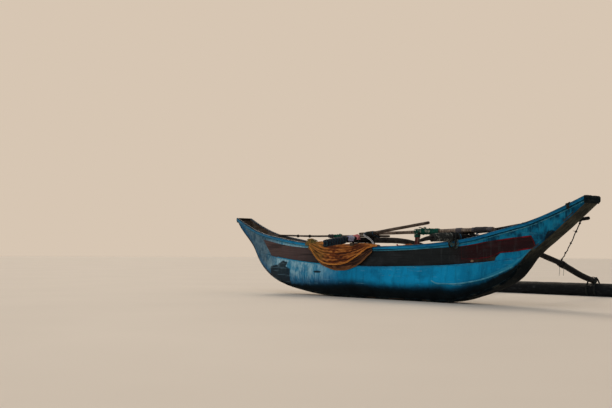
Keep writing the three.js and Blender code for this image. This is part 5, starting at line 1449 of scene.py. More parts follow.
# the bow rib's pale blue: its paint, partly a painted highlight along the ridge
M_RIB = rail_paint("rib_gloss_and_highlight", 0.5, (26, 110, 140), (70, 156, 184), (120, 186, 204), (30, 110, 138))
M_BEAD = rail_paint("rail_bead_gloss", 0.5, (34, 118, 146), (74, 158, 182), (130, 190, 204), (34, 104, 128))
M_TAR = tar_wood()

make_shells()
for _nm, _side in SIDES:
    make_wash(_nm, _side)
    make_rail(_nm, _side)
make_planks()
make_strips()
make_caps()
make_boards()
make_timber()



# ======================================================================
# ropes
# ======================================================================
def resample(P, step):
    P = np.asarray(P, float)
    d = np.linalg.norm(np.diff(P, axis=0), axis=1)
    P = P[np.concatenate([[True], d > 1e-6])]
    s = np.concatenate([[0], np.cumsum(np.linalg.norm(np.diff(P, axis=0), axis=1))])
    t = np.linspace(0, s[-1], max(3, int(round(s[-1] / step)) + 1))
    return np.stack([np.interp(t, s, P[:, i]) for i in range(3)], -1)


def curve(points, n=12):
    """Smooth line through a few points."""
    p = np.asarray(points, float)
    s = np.concatenate([[0], np.cumsum(np.linalg.norm(np.diff(p, axis=0), axis=1))])
    t = np.linspace(0, s[-1], n * len(p))
    m = np.zeros_like(p)
    for i in range(len(p)):
        a, b = max(0, i - 1), min(len(p) - 1, i + 1)
        m[i] = (p[b] - p[a]) / max(1e-9, s[b] - s[a])
    i = np.clip(np.searchsorted(s, t, side="right") - 1, 0, len(p) - 2)
    h = (s[i + 1] - s[i])[:, None]
    u = ((t - s[i]) / h[:, 0])[:, None]
    return ((2 * u ** 3 - 3 * u ** 2 + 1) * p[i] + (u ** 3 - 2 * u ** 2 + u) * h * m[i] + (-2 * u ** 3 + 3 * u ** 2) * p[i + 1] + (u ** 3 - u ** 2) * h * m[i + 1])


def rope(g, path, r, sides=9, lay=None, step=None, phase=0.0, depth=0.26, mat=0):
    """Three-strand rope along a line: lobed section turning as it goes."""
    C = resample(path, step or max(0.0056, r * 1.2))
    T, N, B = frames_along(C)
    s = np.concatenate([[0], np.cumsum(np.linalg.norm(np.diff(C, axis=0), axis=1))])
    pitch = lay or r * 9.0
    a = np.arange(sides) / sides * 2 * math.pi
    S, A = np.meshgrid(s, a, indexing="ij")
    lobe = np.abs(np.cos(1.5 * (A - 2 * math.pi * S / pitch - phase)))
    rad = r * (1 - depth * (1 - lobe) ** 1.4)
    taper = np.clip(np.minimum(s, s[-1] - s) / (r * 0.8), 0, 1)[:, None]
    rad = rad * (0.55 + 0.45 * np.sqrt(taper))
    V = C[:, None] + rad[..., None] * (np.cos(A)[..., None] * N[:, None] + np.sin(A)[..., None] * B[:, None])
    n = len(C)
    v = np.concatenate([V.reshape(-1, 3), [C[0], C[-1]]])
    tris = np.concatenate([fan_cap(0, sides, n * sides), fan_cap((n - 1) * sides, sides, n * sides + 1, True)])
    g.add(v, grid_quads(n, sides), tris, mat, groove=np.concatenate([(1 - lobe.ravel()) ** 2, [0, 0]]))
    return s[-1]


def coil(centre, axis_dir, u_dir, outline, w0, w1, turns, jitter=0.0015, seed=0, lift=0.0, phase=0.0, per=64, cross=0.0):
    """Turns of rope round an outline(angle) -> (u, v), carried along axis_dir from w0 to w1."""
    r = np.random.default_rng(seed)
    n = int(turns * per)
    a = np.linspace(0, turns * 2 * math.pi, n + 1) + phase
    f = np.linspace(0, 1, n + 1)
    ax, u = np.array(axis_dir, float), np.array(u_dir, float)
    v = np.cross(ax, u)
    wv = Wob(seed + 900, jitter, 0.06, 0.5, 10)
    k = a * 0.06
    uv = outline(a)
    d = uv / np.linalg.norm(uv, axis=1)[:, None]
    uv = uv + d * (lift + wv(k, 0.0))[:, None]
    w = w0 + (w1 - w0) * f + wv(k, 3.0) * 0.8 + cross * np.sin(a * 0.5)
    return np.array(centre, float) + uv[:, :1] * u + uv[:, 1:] * v + w[:, None] * ax


def stadium(hu, hv):
    """Outline of half width hu and half height hv >= hu, by angle."""
    def f(a):
        c, s = np.cos(a), np.sin(a)
        straight = hv - hu
        # by arc length round the stadium so that turns are even
        per = 2 * math.pi * hu + 4 * straight
        t = (a / (2 * math.pi) % 1.0) * per
        out = np.empty((len(t), 2))
        q = math.pi * hu
        m1 = t < straight
        out[m1] = np.stack([np.full(m1.sum(), hu), t[m1]], -1)
        m2 = (t >= straight) & (t < straight + q)
        b = (t[m2] - straight) / hu
        out[m2] = np.stack([hu * np.cos(b), straight + hu * np.sin(b)], -1)
        m3 = (t >= straight + q) & (t < 3 * straight + q)
        out[m3] = np.stack([np.full(m3.sum(), -hu), straight - (t[m3] - straight - q)], -1)
        m4 = (t >= 3 * straight + q) & (t < 3 * straight + 2 * q)
        b = math.pi + (t[m4] - 3 * straight - q) / hu
        out[m4] = np.stack([hu * np.cos(b), -straight + hu * np.sin(b)], -1)
        m5 = t >= 3 * straight + 2 * q
        out[m5] = np.stack([np.full(m5.sum(), hu), -straight + (t[m5] - 3 * straight - 2 * q)], -1)
        return out
    return f


def superround(hu, hv, corner):
    """Rounded box outline by angle."""
    def f(a):
        c, s = np.cos(a), np.sin(a)
        k = max(2.2, 2.0 + 2.2 * (1 - corner / max(hu, hv)))
        r = (np.abs(c / hu) ** k + np.abs(s / hv) ** k) ** (-1 / k)
        return np.stack([r * c, r * s], -1)
    return f


def circle(r):
    return lambda a: np.stack([r * np.cos(a), r * np.sin(a)], -1)


def tangle(centre, size, seed, loops=5, n=260, keep_out=None):
    """A loose heap of one rope: a closed wandering line in an ellipsoid shell."""
    r = np.random.default_rng(seed)
    t = np.linspace(0, 2 * math.pi, n)
    p = np.zeros((n, 3))
    for i in range(3):
        for k in range(1, loops + 1):
            p[:, i] += r.normal() / k ** 0.5 * np.cos(k * t + r.uniform(0, 2 * math.pi))
    p /= np.abs(p).max(0)
    p = np.asarray(centre) + p * np.asarray(size)
    return keep_out(p) if keep_out else p


def off_line(a, b, r):
    """Keeps a line of points at least r from the line a-b."""
    a, b = np.array(a, float), np.array(b, float)
    d = (b - a) / np.linalg.norm(b - a)

    def f(p):
        q = p - a
        foot = a + (q @ d)[:, None] * d
        w = p - foot
        l = np.linalg.norm(w, axis=1)[:, None]
        return foot + w / np.maximum(l, 1e-6) * np.maximum(l, r)
    return f


def done(g, name, mats, nodes=(), sharp=None):
    o = g.object(name, mats, sharp=sharp)
    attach(o, ROOT)
    if nodes:
        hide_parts(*nodes)
    return o


def boom_at(rows, y):
    rows = np.array(rows)
    return [float(pchip(rows[:, 1], rows[:, i])(y)) for i in (0, 2, 3)]


def make_gunwale_lashings():
    for name, node, bx, bz, side, outside in (
            ("tie_fore_near", "lashing_fore_near", LASH_FORE_NEAR_X, FORE_Z, -1, True),
            ("tie_fore_far", "lashing_fore_far", LASH_FORE_FAR_X, FORE_Z, 1, True),
            ("tie_aft_far", "lashing_aft_far", BOOM_AFT_X, AFT_Z, 1, True),
            ("tie_aft_near", "lashing_aft_near", BOOM_AFT_X, AFT_Z, -1, False)):
        y = float(half_sheer(bx))
        hz = float(z_sheer(bx)) - HOLE_DROP
        r = 0.0068
        hu = BOOM_R + 0.005 + r
        top = bz + hu
        bot = hz - 0.016 - r if outside else float(z_sheer(bx)) - 0.10 - r
        seed = int(abs(bx) * 100) + side + 5
        g = Geo()
        mid = (bx, 0, (top + bot) / 2)
        out = stadium(hu, (top - bot) / 2)
        spans = [(y - 0.070, y - 0.030)]
        if outside:
            spans.append((y + RAIL_OUT + .003, y + RAIL_OUT + .043))
        for k, (a, b) in enumerate(spans):
            a, b = side * (a + r), side * (b - r)
            # a first layer side by side, a second crossing over it
            p = coil(mid, (0, 1, 0), (1, 0, 0), lambda q: out(q) * np.array([1, -1]), a, b, 3.5, 0.0012, seed + k, 0.0, 0.4 + k)
            rope(g, p, r, 9, phase=k)
            p = coil(mid, (0, 1, 0), (1, 0, 0), lambda q: out(q) * np.array([1, -1]), b, a, 2.5, 0.0020, seed + 7 + k, r * 1.75, 2.0 + k)
            rope(g, p, r * 0.95, 9, phase=k + 1)
        if outside:
            for dz, dx in ((-0.005, -0.018), (-0.0105, 0.006), (-0.004, 0.026)):
                p = [(bx + dx, side * (y - .060), hz + dz - 0.004), (bx + dx, side * (y - .045), hz + dz), (bx + dx * .8, side * y, hz + dz), (bx + dx, side * (y + .055), hz + dz), (bx + dx, side * (y + .068), hz + dz - 0.004)]
                rope(g, curve(p), r * 0.9, 9)
            # hitch and tail on the outside turns
            yo = side * (y + RAIL_OUT + .043 + 0.006)
            zk = (top + bot) / 2 - 0.01
            k1 = coil((bx - hu - r * 0.8, yo - side * 0.026, zk), (0, 0, 1), (1, 0, 0), lambda q: np.stack([0.020 * np.cos(q), 0.031 * np.sin(q)], -1), -0.018, 0.018, 3, 0.001, seed + 3)
            rope(g, k1, r * 0.85, 9)
        done(g, name, [R_DARK], [node])


def make_serving():
    g = Geo()
    rows = BOOM_FORE
    y0, y1, r = -0.815, -0.335, 0.0062
    turns = (y1 - y0) / 0.0132
    n = int(turns * 40)
    a = np.linspace(0, turns * 2 * math.pi, n)
    y = np.linspace(y0, y1, n)
    arr = np.array(rows)
    fx, fz, fr = (pchip(arr[:, 1], arr[:, i]) for i in (0, 2, 3))
    w = Wob(71, 0.0012, 0.05, 0.4, 12)
    rr = fr(y) + 0.0065 + r + w(y * 3, a * 0.01)
    P = np.stack([fx(y) + rr * np.cos(a), y, fz(y) + rr * np.sin(a)], -1)
    rope(g, P, r, 9, step=0.0075)
    # crossing turns over it, as of net wound on
    for d, ph in ((1, 0.0), (-1, 0.5), (1, 2.1), (-1, 2.6), (1, 4.2), (-1, 4.7)):
        n = 240
        y = np.linspace(y0 + 0.004, y1 - 0.004, n)
        a = ph + d * (y - y0) * 2 * math.pi / 0.19
        rr = fr(y) + 0.0065 + 2 * r + 0.0036 + w(y * 2 + ph, 0.3) * 0.5
        rope(g, np.stack([fx(y) + rr * np.cos(a), y, fz(y) + rr * np.sin(a)], -1), 0.0045, 9)
    # short lighter strands and knots caught between the turns
    r2 = np.random.default_rng(77)
    for i in range(46):
        yc, ac, ln = r2.uniform(y0 + 0.03, y1 - 0.03), r2.uniform(0, 2 * math.pi), r2.uniform(0.25, 0.8)
        t = np.linspace(0, 1, 14)
        a = ac + ln * t
        y = yc + r2.uniform(-0.022, 0.022) * t + 0.003 * np.sin(t * 9)
        rr = fr(y) + 0.0065 + 2 * r + 0.0068 + 0.002 * np.sin(t * 7 + i)
        rope(g, np.stack([fx(y) + rr * np.cos(a), y, fz(y) + rr * np.sin(a)], -1), r2.uniform(0.0026, 0.0042), 7, mat=1)
    done(g, "boom_serving", [R_SERVE, R_FLECK], ["rope_serving_fore"])


def hulls_of(bars):
    """Tight outline in y, z round several poles at a given x, by angle."""
    tabs = [np.array(b) for b in bars]
    fs = [[pchip(t[:, 0], t[:, i]) for i in (1, 2, 3)] for t in tabs]
    lim = [(t[0, 0], t[-1, 0]) for t in tabs]

    def f(x, a, off):
        d = np.array([math.cos(a), math.sin(a)])
        best, at = -1e9, None
        for (fy, fz, fr), (lo, hi) in zip(fs, lim):
            if lo - 0.02 <= x <= hi + 0.02:
                c, r = np.array([float(fy(x)), float(fz(x))]), float(fr(x)) * 1.03
                if c @ d + r > best:
                    best, at = c @ d + r, c + (r + off) * d
        return at
    return f


def hug(around, xs, turns, off, seed):
    """Line wound round that outline from xs[0] to xs[-1]."""
    w = Wob(seed, 0.0010, 0.02, 0.2, 10)
    a = np.linspace(0, turns * 2 * math.pi, len(xs)) + seed
    return np.array([(x + 0.002 * math.sin(t * 0.37), *around(x, t, off + float(w(x, t * 0.01)))) for x, t in zip(xs, a)])


def make_bands():
    # green turns on the mast with a heap over the crutch
    g = Geo()
    mast = np.array(MAST)
    fy, fz, fr = (pchip(mast[:, 0], mast[:, i]) for i in (1, 2, 3))
    x0, x1, r = 0.868, 1.302, 0.0060
    w = Wob(72, 0.0024, 0.04, 0.3, 12)
    turns = (x1 - x0) / 0.0118
    n = int(turns * 40)
    a = np.linspace(0, turns * 2 * math.pi, n)
    x = np.linspace(x0, x1, n) + 0.003 * np.sin(a * 0.31)
    rr = 0.042 + r * 0.9 + w(x * 3, a * 0.02)
    rope(g, np.stack([x, .066 + rr * np.cos(a), 1.2600 + rr * np.sin(a)], -1), r, 9, step=0.0072)
    keep = off_line((.5, .066, 1.2565), (1.6, .066, 1.266), 0.050)
    for i, (c, q) in enumerate([((.900, .058, 1.292), (.100, .052, .050)), ((.985, .060, 1.288), (.095, .052, .046)), ((.800, .060, 1.258), (.062, .055, .058)),
                                ((.985, .064, 1.312), (.075, .040, .030)), ((1.10, .062, 1.285), (.090, .050, .034)), ((.86, .058, 1.262), (.085, .058, .060))]):
        rope(g, tangle(c, q, 300 + i, 4, 220, keep), 0.0055, 9)
    # turns that come down round the crutch's head
    for i in range(5):
        z = 1.158 + 0.0115 * i
        c = coil((.787, .066, z), (0, 0, 1), (1, 0, 0), superround(0.052, 0.037, 0.02), -0.003, 0.009, 1.05, 0.0015, 320 + i, 0, i * 0.7)
        rope(g, c, 0.0058, 9)
    for a, b in (((.750, .020, 1.168), (.87, .020, 1.302)), ((.752, .110, 1.168), (.87, .110, 1.298)), ((.842, .014, 1.172), (.80, .018, 1.296)), ((.740, .026, 1.195), (.80, .045, 1.322))):
        m = [(a[i] + b[i]) / 2 + (0.012 if i == 1 and a[1] > .06 else -0.012 if i == 1 else 0.004) for i in range(3)]
        rope(g, curve([a, m, b]), 0.0056, 9)
    done(g, "tie_mast_green", [R_GREEN], ["mast_lashing_green"])

    # pale loops caught in the green turns
    g = Geo()
    for i, (x, y, z, s) in enumerate([(1.02, .008, 1.272, .026), (1.050, .006, 1.262, .022), (1.088, .008, 1.258, .024), (1.115, .006, 1.266, .020), (.905, .002, 1.262, .018), (.915, .000, 1.256, .014)]):
        t = np.linspace(-1.2, 4.4, 60)
        p = np.stack([x + 0.011 * np.cos(t) + 0.004 * t, y - 0.006 * np.sin(t * 0.7) - 0.004, z + s * np.sin(t)], -1)
        rope(g, p, 0.0042, 9)
    done(g, "loops_pale", [R_PALE], ())

    # turns round mast, sprit and long pole over the aft boom
    for name, node, x0, x1, bars, seed, extra in (
            ("tie_poles_aft", "pole_lashing_aft", -.440, -.220, (MAST, SPRIT, LONG_POLE), 73, 2),
            ("tie_poles_fore", "pole_lashing_fore", 2.090, 2.360, (MAST, BOWPOLE), 74, 0)):
        g = Geo()
        r = 0.0052
        around = hulls_of(bars)
        turns = (x1 - x0) / 0.0135
        rope(g, hug(around, np.linspace(x0 + r, x1 - r, int(turns * 60)), turns, r + 0.0012, seed), r, 9, step=0.007)
        for k in range(extra):
            a = x0 + 0.03 + k * (x1 - x0 - 0.08) / 1.5
            rope(g, hug(around, np.linspace(a, a + 0.055 * (-1) ** k, 130), 2.2, r * 2.9, seed + 20 + k), r * 0.9, 9, step=0.007)
        done(g, name, [R_DARK if extra else R_SLATE], [node])

    # pale worn serving along the mast's thick end
    g = Geo()
    for x0, x1, r in ((1.694, 1.816, .0038), (2.043, 2.086, .0036), (2.366, 2.466, .0040)):
        turns = (x1 - x0) / (2.15 * r)
        n = int(turns * 40)
        a = np.linspace(0, turns * 2 * math.pi, n)
        x = np.linspace(x0, x1, n)
        rr = fr(x) + r * 0.92 + 0.0008 * np.sin(a * 0.17)
        rope(g, np.stack([x, fy(x) + rr * np.cos(a), fz(x) + rr * np.sin(a)], -1), r, 9, step=0.006)
    done(g, "serving_mast", [R_GREY], ())


def make_float_ties():
    for nm, bx, rows in (("fore", 2.052, BOOM_FORE), ("aft", -0.400, BOOM_AFT)):
        g = Geo()
        r, top = 0.0062, 0.386
        rr = FLOAT_R + 0.0005 + r
        zc = 0.131
        for s in (-1, 1):
            for k, dx in enumerate((0.0735, 0.0865, 0.0990)):
                x = bx + s * dx
                # up one side, over the top corner by the boom and down the other
                th = np.linspace(-0.98, 0.42, 28)
                a = np.stack([np.full(28, x), FLOAT_Y - rr * np.cos(th), zc + rr * np.sin(th)], -1)
                up = curve([a[-1], (x - s * 0.004, FLOAT_Y - 0.112, 0.232), (bx + s * (0.066 + 0.0125 * k), FLOAT_Y - 0.078, 0.288), (bx + s * (0.060 + 0.0115 * k), FLOAT_Y - 0.052, 0.330 + .004 * k),
                            (bx + s * (0.046 + 0.010 * k), FLOAT_Y - 0.022, top - .012 + 0.006 * k)])
                b = a.copy()
                b[:, 1] = 2 * FLOAT_Y - a[:, 1]
                dn = up.copy()
                dn[:, 1] = 2 * FLOAT_Y - up[:, 1]
                p = np.concatenate([a, up[1:], dn[::-1], b[::-1][1:]])
                p[:, 0] += 0.0012 * np.sin(np.arange(len(p)) * 0.21 + k + s)
                rope(g, p, r, 9)
        for k in range(4):
            y = FLOAT_Y - 0.022 + 0.0135 * k
            p = curve([(bx - 0.070, y, top - 0.045), (bx - 0.046, y, top - 0.010), (bx, y - 0.002, top + 0.0055), (bx + 0.046, y + 0.002, top - 0.010), (bx + 0.070, y, top - 0.045)])
            rope(g, p, r * 0.95, 9)
        done(g, f"tie_float_{nm}", [R_DARK], [f"float_lashing_{nm}"])


def make_stay():
    g = Geo()
    pts = np.array([(3.925, .361, 1.382), (3.44, 1.017, 1.195), (2.96, 1.673, 1.020), (2.47, 2.329, .862), (1.998, 2.985, .735)])
    line = curve(pts, 60)
    w = Wob(91, 0.0035, 0.10, 0.7, 14)
    s = np.linspace(0, 1, len(line))
    k = np.sin(math.pi * s) ** 0.4
    line[:, 0] += w(s * 3.5, 0.0) * k
    line[:, 2] += w(s * 3.5, 2.0) * k
    L = rope(g, line, 0.0100, 9, lay=0.07)
    # turns on the bow pole and on the boom, and knots along it
    bp = np.array(BOWPOLE)
    fy, fz, fr = (pchip(bp[:, 0], bp[:, i]) for i in (1, 2, 3))
    x = 3.915
    d = np.array([1, 0.12, 0.11])
    d /= np.linalg.norm(d)
    u = np.cross(d, (0, 0, 1))
    p = coil((x, float(fy(x)), float(fz(x))), d, u / np.linalg.norm(u), circle(float(fr(x)) + 0.0062), -0.020, 0.022, 4, 0.0008, 92)
    rope(g, p, 0.0058, 9)
    bx, bz, br = boom_at(BOOM_FORE, 2.99)
    t = np.array([0.045, 1, -0.30])
    t /= np.linalg.norm(t)
    u = np.cross(t, (0, 0, 1))
    p = coil((bx, 2.99, bz), t, u / np.linalg.norm(u), circle(br + 0.0068), -0.016, 0.020, 3.5, 0.0010, 93)
    rope(g, p, 0.0060, 9)
    for f, n in ((0.035, 2.5), (0.20, 1.6), (0.46, 1.6), (0.72, 1.8), (0.965, 2.5)):
        i = int(f * (len(line) - 1))
        i = min(max(i, 2), len(line) - 3)
        dd = line[i + 2] - line[i - 2]
        dd /= np.linalg.norm(dd)
        u = np.cross(dd, (0, 0, 1))
        p = coil(line[i], dd, u / np.linalg.norm(u), circle(0.0136), -0.007 * n, 0.007 * n, n * 1.4, 0.0008, int(f * 100))
        rope(g, p, 0.0048, 9)
    done(g, "stay_bow", [R_BLACK], ["bow_stay"])
    # a stub of twig caught in a knot of the stay
    g = Geo()
    i = int(0.20 * (len(line) - 1))
    a = line[i]
    p = curve([a + (-0.055, -0.012, 0.014), a + (-0.02, -0.010, 0.008), a + (0.0, -0.006, 0.002), a + (0.022, 0.004, -0.012)])
    C = resample(p, 0.006)
    T, N, B = frames_along(C)
    th = np.arange(8) / 8 * 2 * math.pi
    rad = (0.0036 + 0.0007 * np.sin(np.arange(len(C)) * 1.3))[:, None] * np.ones(8) * (1 + 0.12 * np.sin(2 * th))
    rad[0] *= 0.6
    rad[-1] *= 0.6
    V = C[:, None] + rad[..., None] * (np.cos(th)[None, :, None] * N[:, None] + np.sin(th)[None, :, None] * B[:, None])
    n = len(C)
    g.add(np.concatenate([V.reshape(-1, 3), [C[0], C[-1]]]), grid_quads(n, 8), np.concatenate([fan_cap(0, 8, n * 8), fan_cap((n - 1) * 8, 8, n * 8 + 1, True)]), 0,
          lp=np.zeros((n * 8 + 2, 3)), edge=np.zeros(n * 8 + 2))
    done(g, "twig", [M_THIN], ())


def make_odd_ropes():
    """Ties and ends that are too small for the model: wraps, tails and tangles."""
    # heap on the near gunwale at the fore boom
    g = Geo()
    y = -float(half_sheer(1.86))

    def clear(p):
        p = p.copy()
        X, Y, Z = p[:, 0], p[:, 1], p[:, 2]
        top = rail_top(X) + 0.007
        over = (Y > -(half_sheer(X) + 0.040)) & (Z < top)
        p[:, 2] = np.where(over & (Z > top - 0.04), top, Z)
        out = -(half_sheer(X) + RAIL_OUT + 0.007)
        p[:, 1] = np.where((Z < top) & (Y > out), out, p[:, 1])
        return p
    for i, (c, s) in enumerate([((1.800, y - .045, 1.075), (.040, .022, .060)), ((1.925, y - .045, 1.065), (.050, .022, .075)), ((1.86, y - .100, 1.030), (.075, .010, .045)),
                                ((1.90, y - .052, 1.000), (.060, .010, .050)), ((1.83, y - .05, 1.10), (.05, .03, .03))]):
        rope(g, tangle(c, s, 400 + i, 3, 150, clear), 0.0052, 9)
    rope(g, curve([(1.93, y - .048, 1.06), (1.955, y - .050, 1.02), (1.94, y - .048, .985), (1.955, y - .046, .965)]), 0.005, 9)
    done(g, "heap_near", [R_WEED], ())

    # blue turns and knots
    g = Geo()
    for y0, n, s in ((-.125, 3.2, 1), (.300, 2.2, 1), (.400, 1.6, 1)):
        bx, bz, br = boom_at(BOOM_FORE, y0)
        p = coil((bx, y0, bz), (0, 1, 0), (1, 0, 0), circle(br + 0.0062), -0.012 * n / 2, 0.012 * n / 2, n, 0.0014, int(100 * abs(y0)))
        rope(g, p, 0.0058, 9)
    bx, bz, br = boom_at(BOOM_FORE, -0.125)
    rope(g, curve([(bx + .03, -.135, bz + br + .004), (bx + .01, -.145, bz + br + .030), (bx - .015, -.135, bz + br + .020), (bx - .03, -.12, bz + br + .030), (bx - .045, -.13, bz + br - .006)]), 0.0052, 9)
    for i, (yy, dz) in enumerate(((.300, .010), (.400, .010))):
        bx, bz, br = boom_at(BOOM_FORE, yy)
        rope(g, tangle((bx, yy, bz + br + 0.020), (.022, .016, .012), 430 + i, 3, 90), 0.0048, 9)
    # blue turns on the poles behind the aft boom
    around = hulls_of((MAST, SPRIT, LONG_POLE))
    for x0, n in ((-.212, 1.1), (-.405, 1.05)):
        rope(g, hug(around, np.linspace(x0, x0 + .012, int(70 * n)), n, 0.0105 if x0 < -.3 else 0.0048, int(1000 * abs(x0))), 0.0042, 9, step=0.006)
    done(g, "turns_blue", [R_BLUE], ())

    # white line from the poles down to the gunwale
    g = Geo()
    zr = float(rail_top(.003))
    L = curve([(-.425, -.104, 1.232), (-.41, -.118, 1.205), (-.29, -.150, 1.158), (-.13, -.205, 1.095), (-.02, -.250, zr + .022), (.012, -.262, zr + .008), (.045, -.262, zr + .008)])
    rope(g, L, 0.0070, 9)
    rope(g, curve([(-.430, -.100, 1.242), (-.395, -.116, 1.216), (-.26, -.142, 1.165), (-.09, -.205, 1.090), (.01, -.240, zr + .012), (.06, -.235, zr + .008), (.10, -.245, zr + .009)]), 0.0048, 9)
    done(g, "line_white", [R_WHITE], ())

    # green turns round the long pole
    g = Geo()
    lp = np.array(LONG_POLE)
    fy, fz, fr = (pchip(lp[:, 0], lp[:, i]) for i in (1, 2, 3))
    x0, x1, r = -1.465, -1.255, 0.0062
    turns = (x1 - x0) / 0.0126
    n = int(turns * 36)
    a = np.linspace(0, turns * 2 * math.pi, n)
    x = np.linspace(x0, x1, n) + 0.003 * np.sin(a * 0.27)
    rr = fr(x) + r * 1.0 + 0.0022 * np.abs(np.sin(x * 40))
    rope(g, np.stack([x, fy(x) + rr * np.cos(a), fz(x) + rr * np.sin(a)], -1), r, 9)
    for i, (x, s) in enumerate(((-1.40, .045), (-1.31, .045))):
        c = (x, float(fy(x)), float(fz(x)) + .012)
        rope(g, tangle(c, (s, .034, .034), 440 + i, 3, 120, off_line((x - .2, float(fy(x - .2)), float(fz(x - .2))), (x + .2, float(fy(x + .2)), float(fz(x + .2))), float(fr(x)) + 2.6 * r)), 0.0056, 9)
    done(g, "turns_green", [R_GREEN], ())
    g = Geo()
    x0, x1, r = -1.640, -1.490, 0.0066
    turns = (x1 - x0) / 0.0134
    a = np.linspace(0, turns * 2 * math.pi, int(turns * 36))
    x = np.linspace(x0, x1, len(a)) + 0.003 * np.sin(a * 0.31)
    rr = fr(x) + r + 0.0024 * np.abs(np.sin(x * 43))
    rope(g, np.stack([x, fy(x) + rr * np.cos(a), fz(x) + rr * np.sin(a)], -1), r, 9)
    for i, x in enumerate((-1.600, -1.530)):
        c = (x, float(fy(x)), float(fz(x)) - .012)
        rope(g, tangle(c, (.040, .032, .038), 446 + i, 3, 120, off_line((x - .2, float(fy(x - .2)), float(fz(x - .2))), (x + .2, float(fy(x + .2)), float(fz(x + .2))), float(fr(x)) + 2.6 * r)), 0.0056, 9)
    done(g, "turns_dark", [R_SLATE], ())

    # dark knots on the long pole, on the bow gunwale and where the bow pole is tied
    g = Geo()
    for x, n, w in ((-2.60, 3, 0.0), (-2.225, 4, 0.0)):
        p = coil((x, float(fy(x)), float(fz(x))), (1, 0, -0.005), (0, 1, 0), circle(float(fr(x)) + 0.005), -0.006 * n, 0.006 * n, n, 0.001, int(-x * 10))
        rope(g, p, 0.005, 9)
        rope(g, tangle((x, float(fy(x)) - 0.02, float(fz(x)) - 0.022), (.020, .014, .016), 450 + n, 3, 80), 0.0045, 9)
    # on the rail near the bow
    for k, x in enumerate((4.034, 4.049, 4.064, 4.048)):
        y, z = float(half_sheer(x)), float(z_sheer(x))
        e = 0.0062 + (0.009 if k == 3 else 0)
        tw = 0.012 if k == 3 else 0.0
        loop = [(x, -(y - .026 - e), z + .004), (x, -(y - .022), z + RAIL_LIP + .003 + e), (x + tw, -(y + .010), z + RAIL_LIP + .004 + e), (x + tw, -(y + .030 + e * .6), z + .010 + e * .6),
                (x, -(y + RAIL_OUT + .002 + e), z - .012), (x - tw, -(y + RAIL_OUT + .001 + e), z - RAIL_H - e * .3), (x, -(y + RAIL_OUT * .5), z - RAIL_H - .002 - e),
                (x, -(y + .006 + e), z - RAIL_H - .012 - e * .5)]
        rope(g, curve(loop, 8), 0.0068, 9)
    x = 4.055
    y, z = float(half_sheer(x)), float(z_sheer(x))
    rope(g, tangle((x, -(y + RAIL_OUT + .016), z - .016), (.036, .012, .036), 460, 4, 130), 0.0062, 9)
    rope(g, curve([(x, -(y + RAIL_OUT + .012), z - .03), (x + .010, -(y + RAIL_OUT + .010), z - .06), (x - .005, -(y + .020), z - .085)]), 0.0066, 9)
    # bow pole to the far gunwale
    bp = np.array(BOWPOLE)
    by, bz, br = (pchip(bp[:, 0], bp[:, i]) for i in (1, 2, 3))
    for k in range(4):
        x = 2.93 + 0.0135 * k
        y, z = float(half_sheer(x)), float(z_sheer(x))
        py, pz, pr = float(by(x)), float(bz(x)), float(br(x))
        th = np.linspace(-0.9, math.pi + 0.6, 24)
        over = [(x, py + (pr + .0062) * math.cos(t), pz + (pr + .0062) * math.sin(t)) for t in th]
        down = [(x, y + RAIL_OUT + .0075, z + .002), (x, y + RAIL_OUT + .007, z - .030), (x, y + .026, z - RAIL_H - .008), (x, y + .008, z - RAIL_H - .014)]
        inner = [(x, y - .034, z + .006), (x, y - .036, z - .03), (x, y - .034, z - .10)]
        rope(g, curve(down[::-1] + over[2:-2:3] + inner, 6), 0.0058, 9)
    done(g, "knots_dark", [R_DARK], ())

    # gathered net bunched on the near rail aft of the hanging part
    g = Geo()

    def on_rail(p):
        p = p.copy()
        low = rail_top(p[:, 0]) + 0.009
        p[:, 2] = np.maximum(p[:, 2], low)
        return p
    for i, (x, q, dz, h) in enumerate(((-1.765, .165, .024, .018), (-1.78, .140, .044, .022), (-1.82, .095, .066, .024), (-1.74, .095, .064, .024), (-1.66, .080, .034, .022), (-1.79, .060, .082, .014),
                                       (-1.77, .150, .034, .026))):
        c = (x, -float(half_sheer(x)) - .004, float(rail_top(x)) + dz)
        rope(g, tangle(c, (q, .034, h), 470 + i, 5, 420, on_rail), 0.0078, 8, mat=1 if i == 5 else 0)
    for i in range(44):
        rr = np.random.default_rng(700 + i)
        x = -1.94 + 0.35 * rr.uniform()
        y0, zt = -float(half_sheer(x)), float(rail_top(x))
        up = 0.085 * math.exp(-((x + 1.79) / 0.10) ** 2) * rr.uniform(0.75, 1.05)
        p = [(x + rr.uniform(-.03, .03), y0 + .034, zt + .008), (x + rr.uniform(-.02, .02), y0 + .022, zt + .012 + up * .7), (x, y0 - .004, zt + .012 + up), (x, y0 - .030, zt + .010 + up * .7),
             (x + rr.uniform(-.02, .02), y0 - .047, zt - .012), (x + rr.uniform(-.03, .03), y0 - .047, zt - .035 - rr.uniform(0, .03))]
        rope(g, curve(p), 0.0060, 8, mat=1 if i % 4 == 0 else 0)
    done(g, "heap_net", [R_OLIVE, R_GOLD], ())

